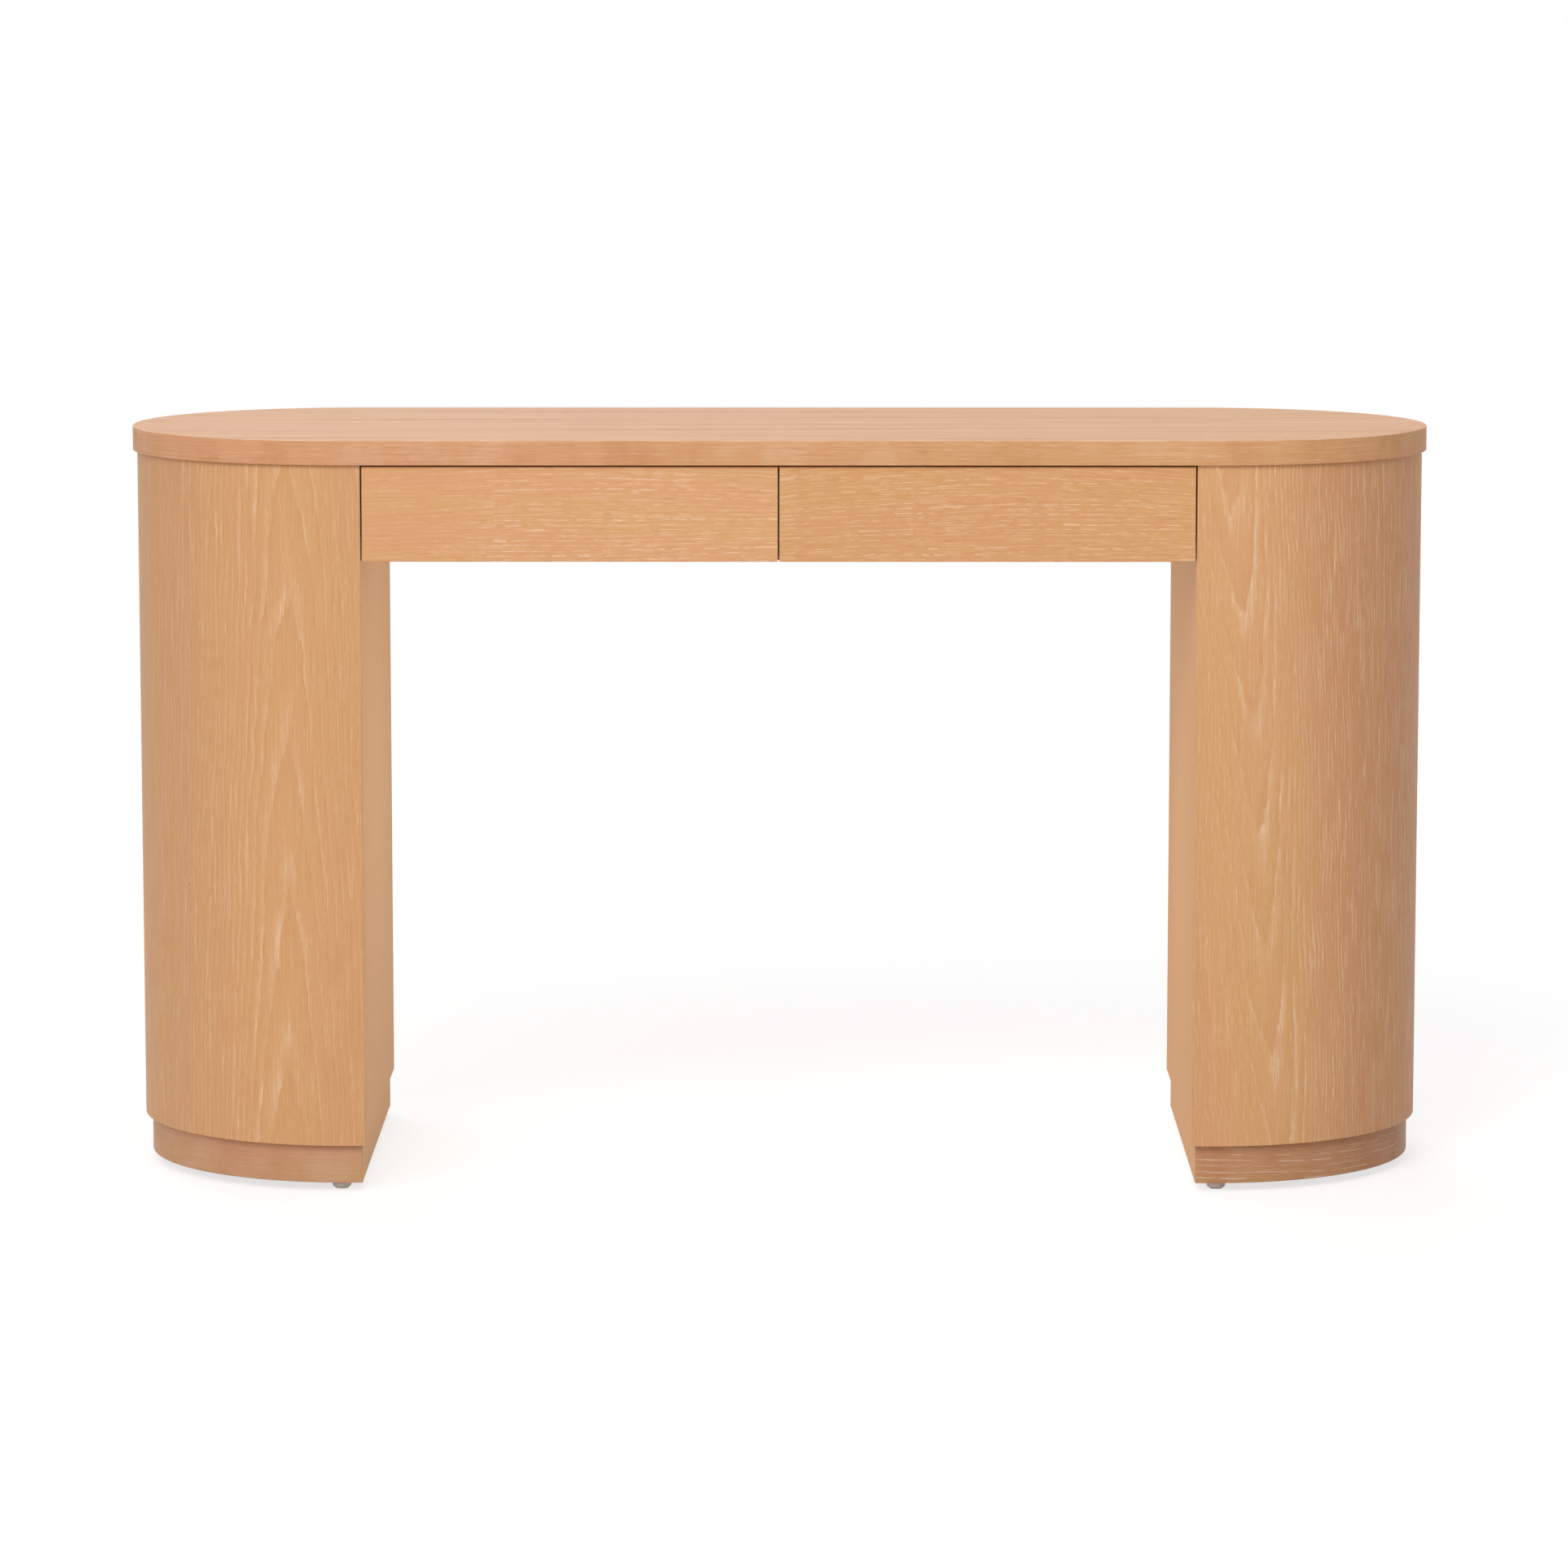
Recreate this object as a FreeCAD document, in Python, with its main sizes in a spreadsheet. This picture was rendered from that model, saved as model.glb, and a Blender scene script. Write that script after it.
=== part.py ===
"""Writing desk: a desktop with half-round ends on two D-shaped pedestals, with two drawers between them.

Millimetres, +Z up. The origin is on the floor under the middle of the desk, X runs along the desk to the
right and Y runs from the front to the back. Every piece is an object of the document, and its sizes are
bound to the cells of the sheet named Sizes.
"""

import FreeCAD
import Part

import math
import os

import Sketcher

# The driving dimensions, in millimetres.
SIZES = {
    # The whole desk
    "desk_width": 1330.0,
    "desk_depth": 450.0,
    "desk_height": 762.0,
    # The desktop
    "top_thickness": 25.0,
    "top_overhang": 4.5,
    "top_edge_round": 1.0,
    # The pedestals
    "skin_thickness": 15.0,
    "panel_thickness": 18.0,
    "arc_margin": 5.0,
    "board_thickness": 16.0,
    "rib_thickness": 12.0,
    "glue_line": 0.2,
    "corner_round": 0.8,
    # The plinths
    "plinth_height": 39.0,
    "plinth_inset": 7.0,
    "plinth_knee_inset": 4.0,
    "plinth_wall": 15.0,
    "block_size": 42.0,
    # The glides that the desk stands on
    "glide_height": 9.0,
    "glide_radius": 10.0,
    "glide_rim_height": 3.5,
    "glide_shoulder_radius": 9.0,
    "glide_shoulder_height": 2.2,
    "glide_foot_radius": 6.5,
    "glide_inset": 22.5,
    "glide_recess": 1.5,
    # The drawer bay
    "reveal": 1.5,
    "stretcher_depth": 60.0,
    "rear_space": 40.0,
    # The drawers
    "front_height": 95.0,
    "front_round": 1.0,
    "finger_lip": 12.0,
    "box_headroom": 2.0,
    "box_wall": 12.0,
    "bottom_thickness": 5.0,
    "bottom_rise": 8.0,
    "groove_depth": 6.0,
    "groove_play": 0.1,
    # The ball-bearing slides
    "slide_space": 12.7,
    "rail_steel": 1.2,
    "outer_rail_height": 45.0,
    "outer_rail_lip": 9.0,
    "middle_rail_gap": 2.6,
    "middle_rail_lip": 7.8,
    "inner_rail_lip": 7.3,
    "rail_setback": 2.0,
    "rail_tail": 13.0,
    "rail_screw_inset": 12.5,
    "ball_radius": 1.5,
    "ball_play": 0.1,
    "cage_steel": 0.5,
    "cage_play": 0.4,
    "cage_lip": 6.6,
    "ball_inset": 4.3,
    "ball_margin": 6.0,
    # Screws, dowels and bumpers
    "screw_radius": 2.0,
    "screw_head_radius": 3.8,
    "screw_head_depth": 2.2,
    "screw_tip": 2.5,
    "screw_bite": 14.0,
    "screw_play": 0.06,
    "pan_head_radius": 3.5,
    "pan_head_depth": 1.0,
    "rail_screw_bite": 7.0,
    "front_screw_bite": 10.0,
    "front_screw_inset": 60.0,
    "plinth_screw_bite": 24.0,
    "plinth_screw_inset": 39.0,
    "board_screw_inset": 30.0,
    "dowel_radius": 4.0,
    "dowel_chamfer": 0.8,
    "dowel_in_board": 18.0,
    "dowel_in_panel": 12.0,
    "dowel_inset": 24.0,
    "dowel_play": 0.06,
    "hole_spare": 1.0,
    "bumper_radius": 4.0,
    "bumper_thickness": 1.2,
    "bumper_inset": 40.0,
    # One overrun for every cut that runs past a face
    "overrun": 5.0,
}

# Places given as shares of the size that they follow.
RIB_HEIGHT_SHARE = 0.5
STRETCHER_SCREW_SHARES = (0.25, 0.75)
CAGE_LENGTH_SHARE = 0.34

BALLS_IN_ROW = 5

FRONT = FreeCAD.Vector(0, -1, 0)
UP = FreeCAD.Vector(0, 0, 1)
DOWN = FreeCAD.Vector(0, 0, -1)

doc = FreeCAD.newDocument("writing_desk")
sheet = doc.addObject("Spreadsheet::Sheet", "Sizes")
nodes = {}


class Size:
    """A length worked out from the sheet's cells: its value now, and the expression that gives it."""

    def __init__(self, value, text):
        self.value = value
        self.text = text

    @staticmethod
    def of(number):
        return number if isinstance(number, Size) else Size(float(number), repr(number))

    def __add__(self, other):
        other = Size.of(other)
        return Size(self.value + other.value, f"({self.text} + {other.text})")

    def __sub__(self, other):
        other = Size.of(other)
        return Size(self.value - other.value, f"({self.text} - {other.text})")

    def __mul__(self, other):
        other = Size.of(other)
        return Size(self.value * other.value, f"({self.text} * {other.text})")

    def __truediv__(self, other):
        other = Size.of(other)
        return Size(self.value / other.value, f"({self.text} / {other.text})")

    def __neg__(self):
        return Size(-self.value, f"(-{self.text})")

    __rmul__ = __mul__


ZERO = Size.of(0)


def fill_sheet():
    """Writes each driving dimension as a plain number with an alias."""
    for row, (alias, number) in enumerate(SIZES.items(), start=1):
        sheet.set(f"A{row}", alias)
        sheet.set(f"B{row}", str(number))
        sheet.setAlias(f"B{row}", alias)
    doc.recompute()


def cell(alias):
    """One driving dimension, as a size bound to its cell."""
    return Size(SIZES[alias], f"Sizes.{alias}")


# Sketches and features

NORMAL_SIGNS = {"X": 1, "Y": -1, "Z": 1}
PLANE_ACROSS = {"X": "YZ_Plane", "Y": "XZ_Plane", "Z": "XY_Plane"}


def new_body(label):
    """An empty body whose label becomes the name of its file. It may hold several separate solids."""
    body = doc.addObject("PartDesign::Body", label)
    body.Label = label
    body.AllowCompound = True
    nodes[label] = body
    return body


def sketch_across(body, axis, place):
    """A sketch square to an axis, at a place along it."""
    sketch = body.newObject("Sketcher::SketchObject", "outline")
    role = PLANE_ACROSS[axis]
    plane = next(item for item in body.Origin.OriginFeatures if item.Role == role)
    sketch.AttachmentSupport = [(plane, "")]
    sketch.MapMode = "FlatFace"
    sketch.setExpression(".AttachmentOffset.Base.z", (NORMAL_SIGNS[axis] * place).text)
    return sketch


def fix_point(sketch, part, end, place):
    """Dimensions one point of a sketch from its origin."""
    for kind, size in zip(("DistanceX", "DistanceY"), place):
        rule = sketch.addConstraint(Sketcher.Constraint(kind, -1, 1, part, end, size.value))
        sketch.setExpression(f"Constraints[{rule}]", size.text)


def add_outline(sketch, corners, half_circles=None):
    """A closed outline through the corners. half_circles gives, for a segment that is a half circle on an
    upright chord, the side of X that it bulges to."""
    half_circles = half_circles or {}
    first = sketch.GeometryCount
    count = len(corners)
    points = [FreeCAD.Vector(x.value, y.value, 0) for x, y in corners]
    starts = []
    ends = []
    for number in range(count):
        start = points[number]
        end = points[(number + 1) % count]
        if number in half_circles:
            circle = Part.Circle((start + end) / 2, FreeCAD.Vector(0, 0, 1), (end - start).Length / 2)
            heading = 0 if half_circles[number] > 0 else math.pi
            sketch.addGeometry(Part.ArcOfCircle(circle, heading - math.pi / 2, heading + math.pi / 2))
            runs_with_arc = (end.y - start.y) * half_circles[number] > 0
            starts.append(1 if runs_with_arc else 2)
            ends.append(2 if runs_with_arc else 1)
        else:
            sketch.addGeometry(Part.LineSegment(start, end))
            starts.append(1)
            ends.append(2)
    for number in range(count):
        after = (number + 1) % count
        joint = ("Coincident", first + number, ends[number], first + after, starts[after])
        sketch.addConstraint(Sketcher.Constraint(*joint))
        fix_point(sketch, first + number, starts[number], corners[number])
        if number in half_circles:
            sketch.addConstraint(Sketcher.Constraint("Vertical", first + number, 3, first + number, 1))


def extrude(body, sketch, length, kind="Pad", along_normal=True):
    """Pads a sketch, or cuts it out with a pocket, to one side of its plane."""
    feature = body.newObject(f"PartDesign::{kind}", kind.lower())
    feature.Profile = sketch
    feature.Reversed = along_normal if kind == "Pocket" else not along_normal
    feature.setExpression("Length", length.text)
    return feature


def prism(label, corners, low, high, half_circles=None):
    """An upright piece with one outline, from its low to its high level."""
    body = new_body(label)
    sketch = sketch_across(body, "Z", low)
    add_outline(sketch, corners, half_circles)
    extrude(body, sketch, high - low)
    return body


def rectangle(x_one, x_two, y_one, y_two):
    """Corners of a rectangle."""
    return [(x_one, y_one), (x_two, y_one), (x_two, y_two), (x_one, y_two)]


def bore(body, axis, direction, start, depth, places, radius):
    """Round holes along an axis, one for each place in the plane across it."""
    sketch = sketch_across(body, axis, start)
    for place in places:
        centre = FreeCAD.Vector(place[0].value, place[1].value, 0)
        hole = sketch.addGeometry(Part.Circle(centre, FreeCAD.Vector(0, 0, 1), radius.value))
        fix_point(sketch, hole, 3, place)
        rule = sketch.addConstraint(Sketcher.Constraint("Radius", hole, radius.value))
        sketch.setExpression(f"Constraints[{rule}]", radius.text)
    return extrude(body, sketch, depth, "Pocket", direction == NORMAL_SIGNS[axis])


def turn(body, axis, direction, place, profile, kind="Revolution"):
    """A turned piece, or a turned cut, about a line through place along an axis. The profile's points are
    (radius, distance along the line)."""
    x, y, z = place
    sketch = body.newObject("Sketcher::SketchObject", "profile")
    role, offsets = ("YZ_Plane", (y, z, x)) if axis == "Y" else ("XZ_Plane", (x, z, -y))
    plane = next(item for item in body.Origin.OriginFeatures if item.Role == role)
    sketch.AttachmentSupport = [(plane, "")]
    sketch.MapMode = "FlatFace"
    for name, offset in zip("xyz", offsets):
        sketch.setExpression(f".AttachmentOffset.Base.{name}", offset.text)
    steps = [(radius, direction * along) for radius, along in profile]
    add_outline(sketch, steps if axis == "Z" else [(along, radius) for radius, along in steps])
    feature = body.newObject(f"PartDesign::{kind}", kind.lower())
    feature.Profile = sketch
    feature.ReferenceAxis = (sketch, ["V_Axis" if axis == "Z" else "H_Axis"])
    return feature


def ease(body, names, radius):
    """Rounds the named edges, or the edges of the named faces."""
    base = body.Tip
    feature = body.newObject("PartDesign::Fillet", "eased_edges")
    feature.Base = (base, names)
    feature.setExpression("Radius", radius.text)
    return feature


def ease_faces(body, radius, directions):
    """Rounds the edges of the outermost flat face that looks in each of the given directions."""
    doc.recompute()
    names = []
    for direction in directions:
        facing = [
            (face.CenterOfMass.dot(direction), f"Face{number}")
            for number, face in enumerate(body.Tip.Shape.Faces, start=1)
            if isinstance(face.Surface, Part.Plane) and round(face.normalAt(0, 0).dot(direction)) == 1
        ]
        names.append(max(facing)[1])
    return ease(body, names, radius)


def ease_knee_corners(body, radius):
    """Rounds the two outer upright corners of a bent skin at the knee space."""
    doc.recompute()
    corners = [
        (abs(edge.CenterOfMass.y) - abs(edge.CenterOfMass.x), f"Edge{number}")
        for number, edge in enumerate(body.Tip.Shape.Edges, start=1)
        if edge.BoundBox.ZLength > edge.BoundBox.DiagonalLength / 2
    ]
    names = [name for _, name in sorted(corners)[-2:]]
    return ease(body, names, radius)


fill_sheet()

# Sizes worked out from the driving ones

half_width = cell("desk_width") / 2
half_depth = cell("desk_depth") / 2
desk_height = cell("desk_height")
overrun = cell("overrun")

body_radius = half_depth - cell("top_overhang")
skin_radius = body_radius - cell("skin_thickness")
arc_x = half_width - half_depth
panel_thickness = cell("panel_thickness")
knee_half = arc_x - cell("arc_margin") - panel_thickness
panel_back = knee_half + panel_thickness

plinth_low = cell("glide_height")
body_low = plinth_low + cell("plinth_height")
body_high = desk_height - cell("top_thickness")
board_thickness = cell("board_thickness")

plinth_radius = body_radius - cell("plinth_inset")
plinth_face = knee_half + cell("plinth_knee_inset")
plinth_wall = cell("plinth_wall")
plinth_inner_radius = plinth_radius - plinth_wall
rail_back = plinth_face + plinth_wall

bay_front = body_radius - panel_thickness
half_board = board_thickness / 2
stretcher_low = body_high - board_thickness
stretcher_front = bay_front - cell("reveal")

front_high = body_high - cell("reveal")
front_low = front_high - cell("front_height")
box_low = front_low + cell("finger_lip")
box_high = stretcher_low - cell("box_headroom")
box_wall = cell("box_wall")
slide_space = cell("slide_space")
rail_length = 2 * bay_front - cell("rail_setback") - cell("rail_tail") - cell("rear_space")
box_length = cell("rail_setback") + rail_length + cell("rail_tail")

rail_front = cell("rail_setback") - bay_front
rail_rear = rail_front + rail_length
rail_middle = (rail_front + rail_rear) / 2
rail_level = (box_low + box_high) / 2
rail_steel = cell("rail_steel")

screw_radius = cell("screw_radius")
screw_play = cell("screw_play")
pilot_radius = screw_radius + screw_play
dowel_hole_radius = cell("dowel_radius") + cell("dowel_play")
hole_spare = cell("hole_spare")

SIDES = {"left": -1, "right": 1}


# Profiles of turned pieces


def screw_profile(length, play=ZERO):
    """A countersunk wood screw from the face of its head to its point, or the hole it needs."""
    shank = screw_radius + play
    return [
        (ZERO, ZERO - play),
        (cell("screw_head_radius") + play, ZERO - play),
        (shank, cell("screw_head_depth")),
        (shank, length - cell("screw_tip")),
        (ZERO, length + play),
    ]


def pan_screw_profile(length):
    """A pan-head screw, measured from under its head."""
    return [
        (ZERO, -cell("pan_head_depth")),
        (cell("pan_head_radius"), -cell("pan_head_depth")),
        (cell("pan_head_radius"), ZERO),
        (screw_radius, ZERO),
        (screw_radius, length - cell("screw_tip")),
        (ZERO, length),
    ]


def dowel_profile(length):
    """A round wooden dowel with chamfered ends."""
    radius = cell("dowel_radius")
    chamfer = cell("dowel_chamfer")
    return [
        (ZERO, ZERO),
        (radius - chamfer, ZERO),
        (radius, chamfer),
        (radius, length - chamfer),
        (radius - chamfer, length),
        (ZERO, length),
    ]


def glide_profile():
    """A nylon glide: a flat-topped button that tapers to its foot, with a recessed screw hole."""
    height = cell("glide_height")
    hole = screw_radius + screw_play
    recess = cell("screw_head_radius") + screw_play
    return [
        (hole, height),
        (cell("glide_radius"), height),
        (cell("glide_radius"), height - cell("glide_rim_height")),
        (cell("glide_shoulder_radius"), cell("glide_shoulder_height")),
        (cell("glide_foot_radius"), ZERO),
        (recess, ZERO),
        (recess, cell("glide_recess") - screw_play),
        (hole, cell("glide_recess") + cell("screw_head_depth")),
    ]


# Outlines


def three_points(side, from_knee, from_curve, knee_plane, radius):
    """Three places in a D-shaped pedestal: by the front and rear inner corners, and at the far end."""
    inner_x = side * (knee_plane + from_knee)
    reach = radius - from_curve
    return [(inner_x, -reach), (inner_x, reach), (side * (arc_x + reach), ZERO)]


def half_round(side, flat_x, radius):
    """A D outline: flat towards the knee space, and half a circle at the end of the desk."""
    flat = side * flat_x
    centre = side * arc_x
    return [(flat, -radius), (centre, -radius), (centre, radius), (flat, radius)], {1: side}


def bent_strip(side, flat_x, radius, wall):
    """A U outline: a bent sheet that goes round a D, with its two ends at the flat."""
    flat = side * flat_x
    centre = side * arc_x
    inner = radius - wall
    outside = [(flat, -radius), (centre, -radius), (centre, radius), (flat, radius)]
    inside = [(flat, inner), (centre, inner), (centre, -inner), (flat, -inner)]
    return outside + inside, {1: side, 5: side}


# Places that screws and dowels share with the pieces they join


def board_screw_places(side):
    return three_points(side, cell("board_screw_inset"), cell("board_screw_inset"), panel_back, skin_radius)


def stretcher_screw_places(middle_y):
    return [(side * share * knee_half, middle_y) for side in (-1, 1) for share in STRETCHER_SCREW_SHARES]


def glide_places(side):
    return three_points(side, cell("glide_inset"), cell("glide_inset"), plinth_face, plinth_radius)


def plinth_screw_places(side):
    inset = cell("plinth_screw_inset")
    return three_points(side, inset, inset, plinth_face, plinth_radius)


stretcher_half = cell("stretcher_depth") / 2
stretcher_middles = (stretcher_half - stretcher_front, bay_front - stretcher_half)
top_screw_places = [place for side in (-1, 1) for place in board_screw_places(side)]
for middle in stretcher_middles:
    top_screw_places += stretcher_screw_places(middle)

apron_middle = (bay_front + body_radius) / 2
apron_dowel_levels = (front_low + cell("dowel_inset"), body_high - cell("dowel_inset"))
apron_dowel_places = [(apron_middle, level) for level in apron_dowel_levels]
stretcher_dowel_places = [
    [(middle + sign * stretcher_half / 2, stretcher_low + half_board) for sign in (-1, 1)]
    for middle in stretcher_middles
]
divider_dowel_levels = (box_low + cell("dowel_inset") / 2, stretcher_low - cell("dowel_inset") / 2)

rail_screw_ys = (rail_front + cell("rail_screw_inset"), rail_rear - cell("rail_screw_inset"))
rail_screw_places = [(y, rail_level) for y in rail_screw_ys]


def make_desktop():
    """The desktop: one board with half-round ends and eased edges."""
    corners = [(-arc_x, -half_depth), (arc_x, -half_depth), (arc_x, half_depth), (-arc_x, half_depth)]
    top = prism("desktop", corners, body_high, desk_height, {1: 1, 3: -1})
    ease_faces(top, cell("top_edge_round"), [UP, DOWN])
    bore(top, "Z", 1, body_high, cell("screw_bite") + hole_spare, top_screw_places, pilot_radius)


def make_pedestal(name, side):
    """One pedestal: a bent skin round an inner panel and three boards."""
    outline, arcs = bent_strip(side, knee_half, body_radius, cell("skin_thickness"))
    skin = prism(f"{name}_curved_skin", outline, body_low, body_high, arcs)
    ease_knee_corners(skin, cell("corner_round"))
    dowel_depth = cell("dowel_in_panel") + hole_spare
    bore(skin, "X", side, side * knee_half, dowel_depth, apron_dowel_places, dowel_hole_radius)

    panel_outline = rectangle(side * knee_half, side * panel_back, -skin_radius, skin_radius)
    panel = prism(f"{name}_inner_panel", panel_outline, body_low, body_high)
    dowels = stretcher_dowel_places[0] + stretcher_dowel_places[1]
    bore(panel, "X", side, side * knee_half, dowel_depth, dowels, dowel_hole_radius)
    screw_depth = cell("rail_screw_bite") + hole_spare
    bore(panel, "X", side, side * knee_half, screw_depth, rail_screw_places, pilot_radius)

    outline, arcs = half_round(side, panel_back, skin_radius - cell("glue_line"))
    top_board = prism(f"{name}_top_board", outline, stretcher_low, body_high, arcs)
    screw_hole = screw_profile(top_screw_length, screw_play)
    for x, y in board_screw_places(side):
        turn(top_board, "Z", 1, (x, y, stretcher_low), screw_hole, "Groove")
    rib_middle = body_low + RIB_HEIGHT_SHARE * (body_high - body_low)
    rib_half = cell("rib_thickness") / 2
    prism(f"{name}_middle_rib", outline, rib_middle - rib_half, rib_middle + rib_half, arcs)
    board_high = body_low + board_thickness
    bottom_board = prism(f"{name}_bottom_board", outline, body_low, board_high, arcs)
    screw_hole = screw_profile(plinth_screw_length, screw_play)
    for x, y in plinth_screw_places(side):
        turn(bottom_board, "Z", -1, (x, y, board_high), screw_hole, "Groove")


def make_plinth(name, side):
    """The set-back plinth under one pedestal: a bent skin, an inner rail and three corner blocks."""
    outline, arcs = bent_strip(side, plinth_face, plinth_radius, plinth_wall)
    prism(f"{name}_plinth_skin", outline, plinth_low, body_low, arcs)
    reach = plinth_inner_radius
    rail_outline = rectangle(side * plinth_face, side * rail_back, -reach, reach)
    prism(f"{name}_plinth_rail", rail_outline, plinth_low, body_low)

    block_radius = plinth_inner_radius - cell("glue_line")
    outline, arcs = half_round(side, rail_back, block_radius)
    blocks = prism(f"{name}_plinth_blocks", outline, plinth_low, body_low, arcs)
    block_size = cell("block_size")
    near = rail_back - overrun
    shoulder = rail_back + block_size
    far = arc_x + block_radius + overrun
    far_block = arc_x + block_radius - block_size
    corner = block_radius - block_size
    edge = block_radius + overrun
    half_block = block_size / 2
    upper = [(near, corner), (shoulder, corner), (shoulder, edge)]
    upper += [(far, edge), (far, half_block), (far_block, half_block)]
    lower = [(x, -y) for x, y in reversed(upper)]
    waste = sketch_across(blocks, "Z", plinth_low)
    add_outline(waste, [(side * x, y) for x, y in upper + lower])
    extrude(blocks, waste, cell("plinth_height"), "Pocket")
    bite = cell("screw_bite") + hole_spare
    bore(blocks, "Z", 1, plinth_low, bite, glide_places(side), pilot_radius)
    bite = cell("plinth_screw_bite") + hole_spare
    bore(blocks, "Z", -1, body_low, bite, plinth_screw_places(side), pilot_radius)

    glides = new_body(f"{name}_glides")
    for x, y in glide_places(side):
        turn(glides, "Z", 1, (x, y, ZERO), glide_profile())


def make_bay():
    """What joins the pedestals and carries the drawers: rear apron, two stretchers and a divider."""
    apron_outline = rectangle(-knee_half, knee_half, bay_front, body_radius)
    apron = prism("rear_apron", apron_outline, front_low, body_high)
    end_depth = cell("dowel_in_board") + hole_spare
    for side in (-1, 1):
        bore(apron, "X", -side, side * knee_half, end_depth, apron_dowel_places, dowel_hole_radius)
    divider_dowels = [(ZERO, level) for level in divider_dowel_levels]
    bore(apron, "Y", 1, bay_front, cell("dowel_in_panel") + hole_spare, divider_dowels, dowel_hole_radius)

    divider_outline = rectangle(-half_board, half_board, -stretcher_front, bay_front)
    divider = prism("centre_divider", divider_outline, front_low, stretcher_low)
    bore(divider, "Y", -1, bay_front, end_depth, divider_dowels, dowel_hole_radius)
    bore(
        divider,
        "Z",
        -1,
        stretcher_low,
        cell("screw_bite") + hole_spare,
        [(ZERO, middle) for middle in stretcher_middles],
        pilot_radius,
    )
    for side in (-1, 1):
        depth = cell("rail_screw_bite") + hole_spare / 2
        bore(divider, "X", -side, side * half_board, depth, rail_screw_places, pilot_radius)

    screw_hole = screw_profile(top_screw_length, screw_play)
    stretchers = zip(("front", "rear"), stretcher_middles, stretcher_dowel_places)
    for end, middle, dowel_places in stretchers:
        outline = rectangle(-knee_half, knee_half, middle - stretcher_half, middle + stretcher_half)
        stretcher = prism(f"{end}_stretcher", outline, stretcher_low, body_high)
        for side in (-1, 1):
            bore(stretcher, "X", -side, side * knee_half, end_depth, dowel_places, dowel_hole_radius)
        for x, y in stretcher_screw_places(middle):
            turn(stretcher, "Z", 1, (x, y, stretcher_low), screw_hole, "Groove")
        turn(stretcher, "Z", -1, (ZERO, middle, body_high), screw_hole, "Groove")


top_screw_length = board_thickness + cell("screw_bite")
plinth_screw_length = board_thickness + cell("plinth_screw_bite")
glide_screw_length = cell("glide_height") - cell("glide_recess") + cell("screw_bite")


def make_frame_fixings():
    """Screws and dowels of the fixed frame, each kind in one group."""
    top_screws = new_body("top_screws")
    for x, y in top_screw_places:
        turn(top_screws, "Z", 1, (x, y, stretcher_low), screw_profile(top_screw_length))
    divider_screws = new_body("divider_screws")
    for middle in stretcher_middles:
        turn(divider_screws, "Z", -1, (ZERO, middle, body_high), screw_profile(top_screw_length))
    plinth_screws = new_body("plinth_screws")
    glide_screws = new_body("glide_screws")
    for side in (-1, 1):
        for x, y in plinth_screw_places(side):
            place = (x, y, body_low + board_thickness)
            turn(plinth_screws, "Z", -1, place, screw_profile(plinth_screw_length))
        for x, y in glide_places(side):
            turn(glide_screws, "Z", 1, (x, y, cell("glide_recess")), screw_profile(glide_screw_length))

    dowels = new_body("frame_dowels")
    length = cell("dowel_in_board") + cell("dowel_in_panel")
    side_places = apron_dowel_places + stretcher_dowel_places[0] + stretcher_dowel_places[1]
    for side in (-1, 1):
        for y, level in side_places:
            start = side * (knee_half - cell("dowel_in_board"))
            turn(dowels, "X", side, (start, y, level), dowel_profile(length))
    for level in divider_dowel_levels:
        start = bay_front - cell("dowel_in_board")
        turn(dowels, "Y", 1, (ZERO, start, level), dowel_profile(length))

    bumpers = new_body("drawer_bumpers")
    bumper = [
        (ZERO, ZERO),
        (cell("bumper_radius"), ZERO),
        (cell("bumper_radius"), cell("bumper_thickness") / 2),
        (cell("bumper_radius") - cell("bumper_thickness") / 2, cell("bumper_thickness")),
        (ZERO, cell("bumper_thickness")),
    ]
    for side in (-1, 1):
        for x in (half_board + cell("bumper_inset"), knee_half - cell("bumper_inset")):
            place = (side * x, -stretcher_front, stretcher_low + half_board)
            turn(bumpers, "Y", -1, place, bumper)


# Slides. A slide is described by its depth from the carcass face towards the drawer, and by its height
# above and below the rail's middle level.

outer_half = cell("outer_rail_height") / 2
ball_race = 2 * (cell("ball_radius") + cell("ball_play"))
middle_half = outer_half - rail_steel - ball_race
inner_half = middle_half - rail_steel - ball_race
middle_depth = cell("middle_rail_gap")
outer_ball_level = middle_half + ball_race / 2
inner_ball_level = inner_half + ball_race / 2
outer_cage_depth = rail_steel + cell("cage_play")
inner_cage_depth = middle_depth + rail_steel + cell("cage_steel")
cage_length = CAGE_LENGTH_SHARE * rail_length


def slide_faces(side):
    """The two carcass faces that carry one drawer's slides, and the way from each to the drawer."""
    return [(side * half_board, side), (side * knee_half, -side)]


def drawer_faces(side):
    """The two outsides of one drawer box, and the way from each to the carcass."""
    return [(face + way * slide_space, -way) for face, way in slide_faces(side)]


def channel(face, way, depth, lip, half_height, steel):
    """A C-shaped section whose web is at a depth from a face and whose lips reach on in the same way."""
    web = face + way * depth
    inside = web + way * steel
    tip = web + way * lip
    top = rail_level + half_height
    bottom = rail_level - half_height
    return [
        (web, bottom),
        (tip, bottom),
        (tip, bottom + steel),
        (inside, bottom + steel),
        (inside, top - steel),
        (tip, top - steel),
        (tip, top),
        (web, top),
    ]


def channel_pair(label, faces, depth, lip, half_height, steel, length):
    """Two channels of one drawer, the same length and centred on the slides."""
    body = new_body(label)
    sketch = sketch_across(body, "Y", rail_middle + length / 2)
    for face, way in faces:
        add_outline(sketch, channel(face, way, depth, lip, half_height, steel))
    extrude(body, sketch, length)
    return body


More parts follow.
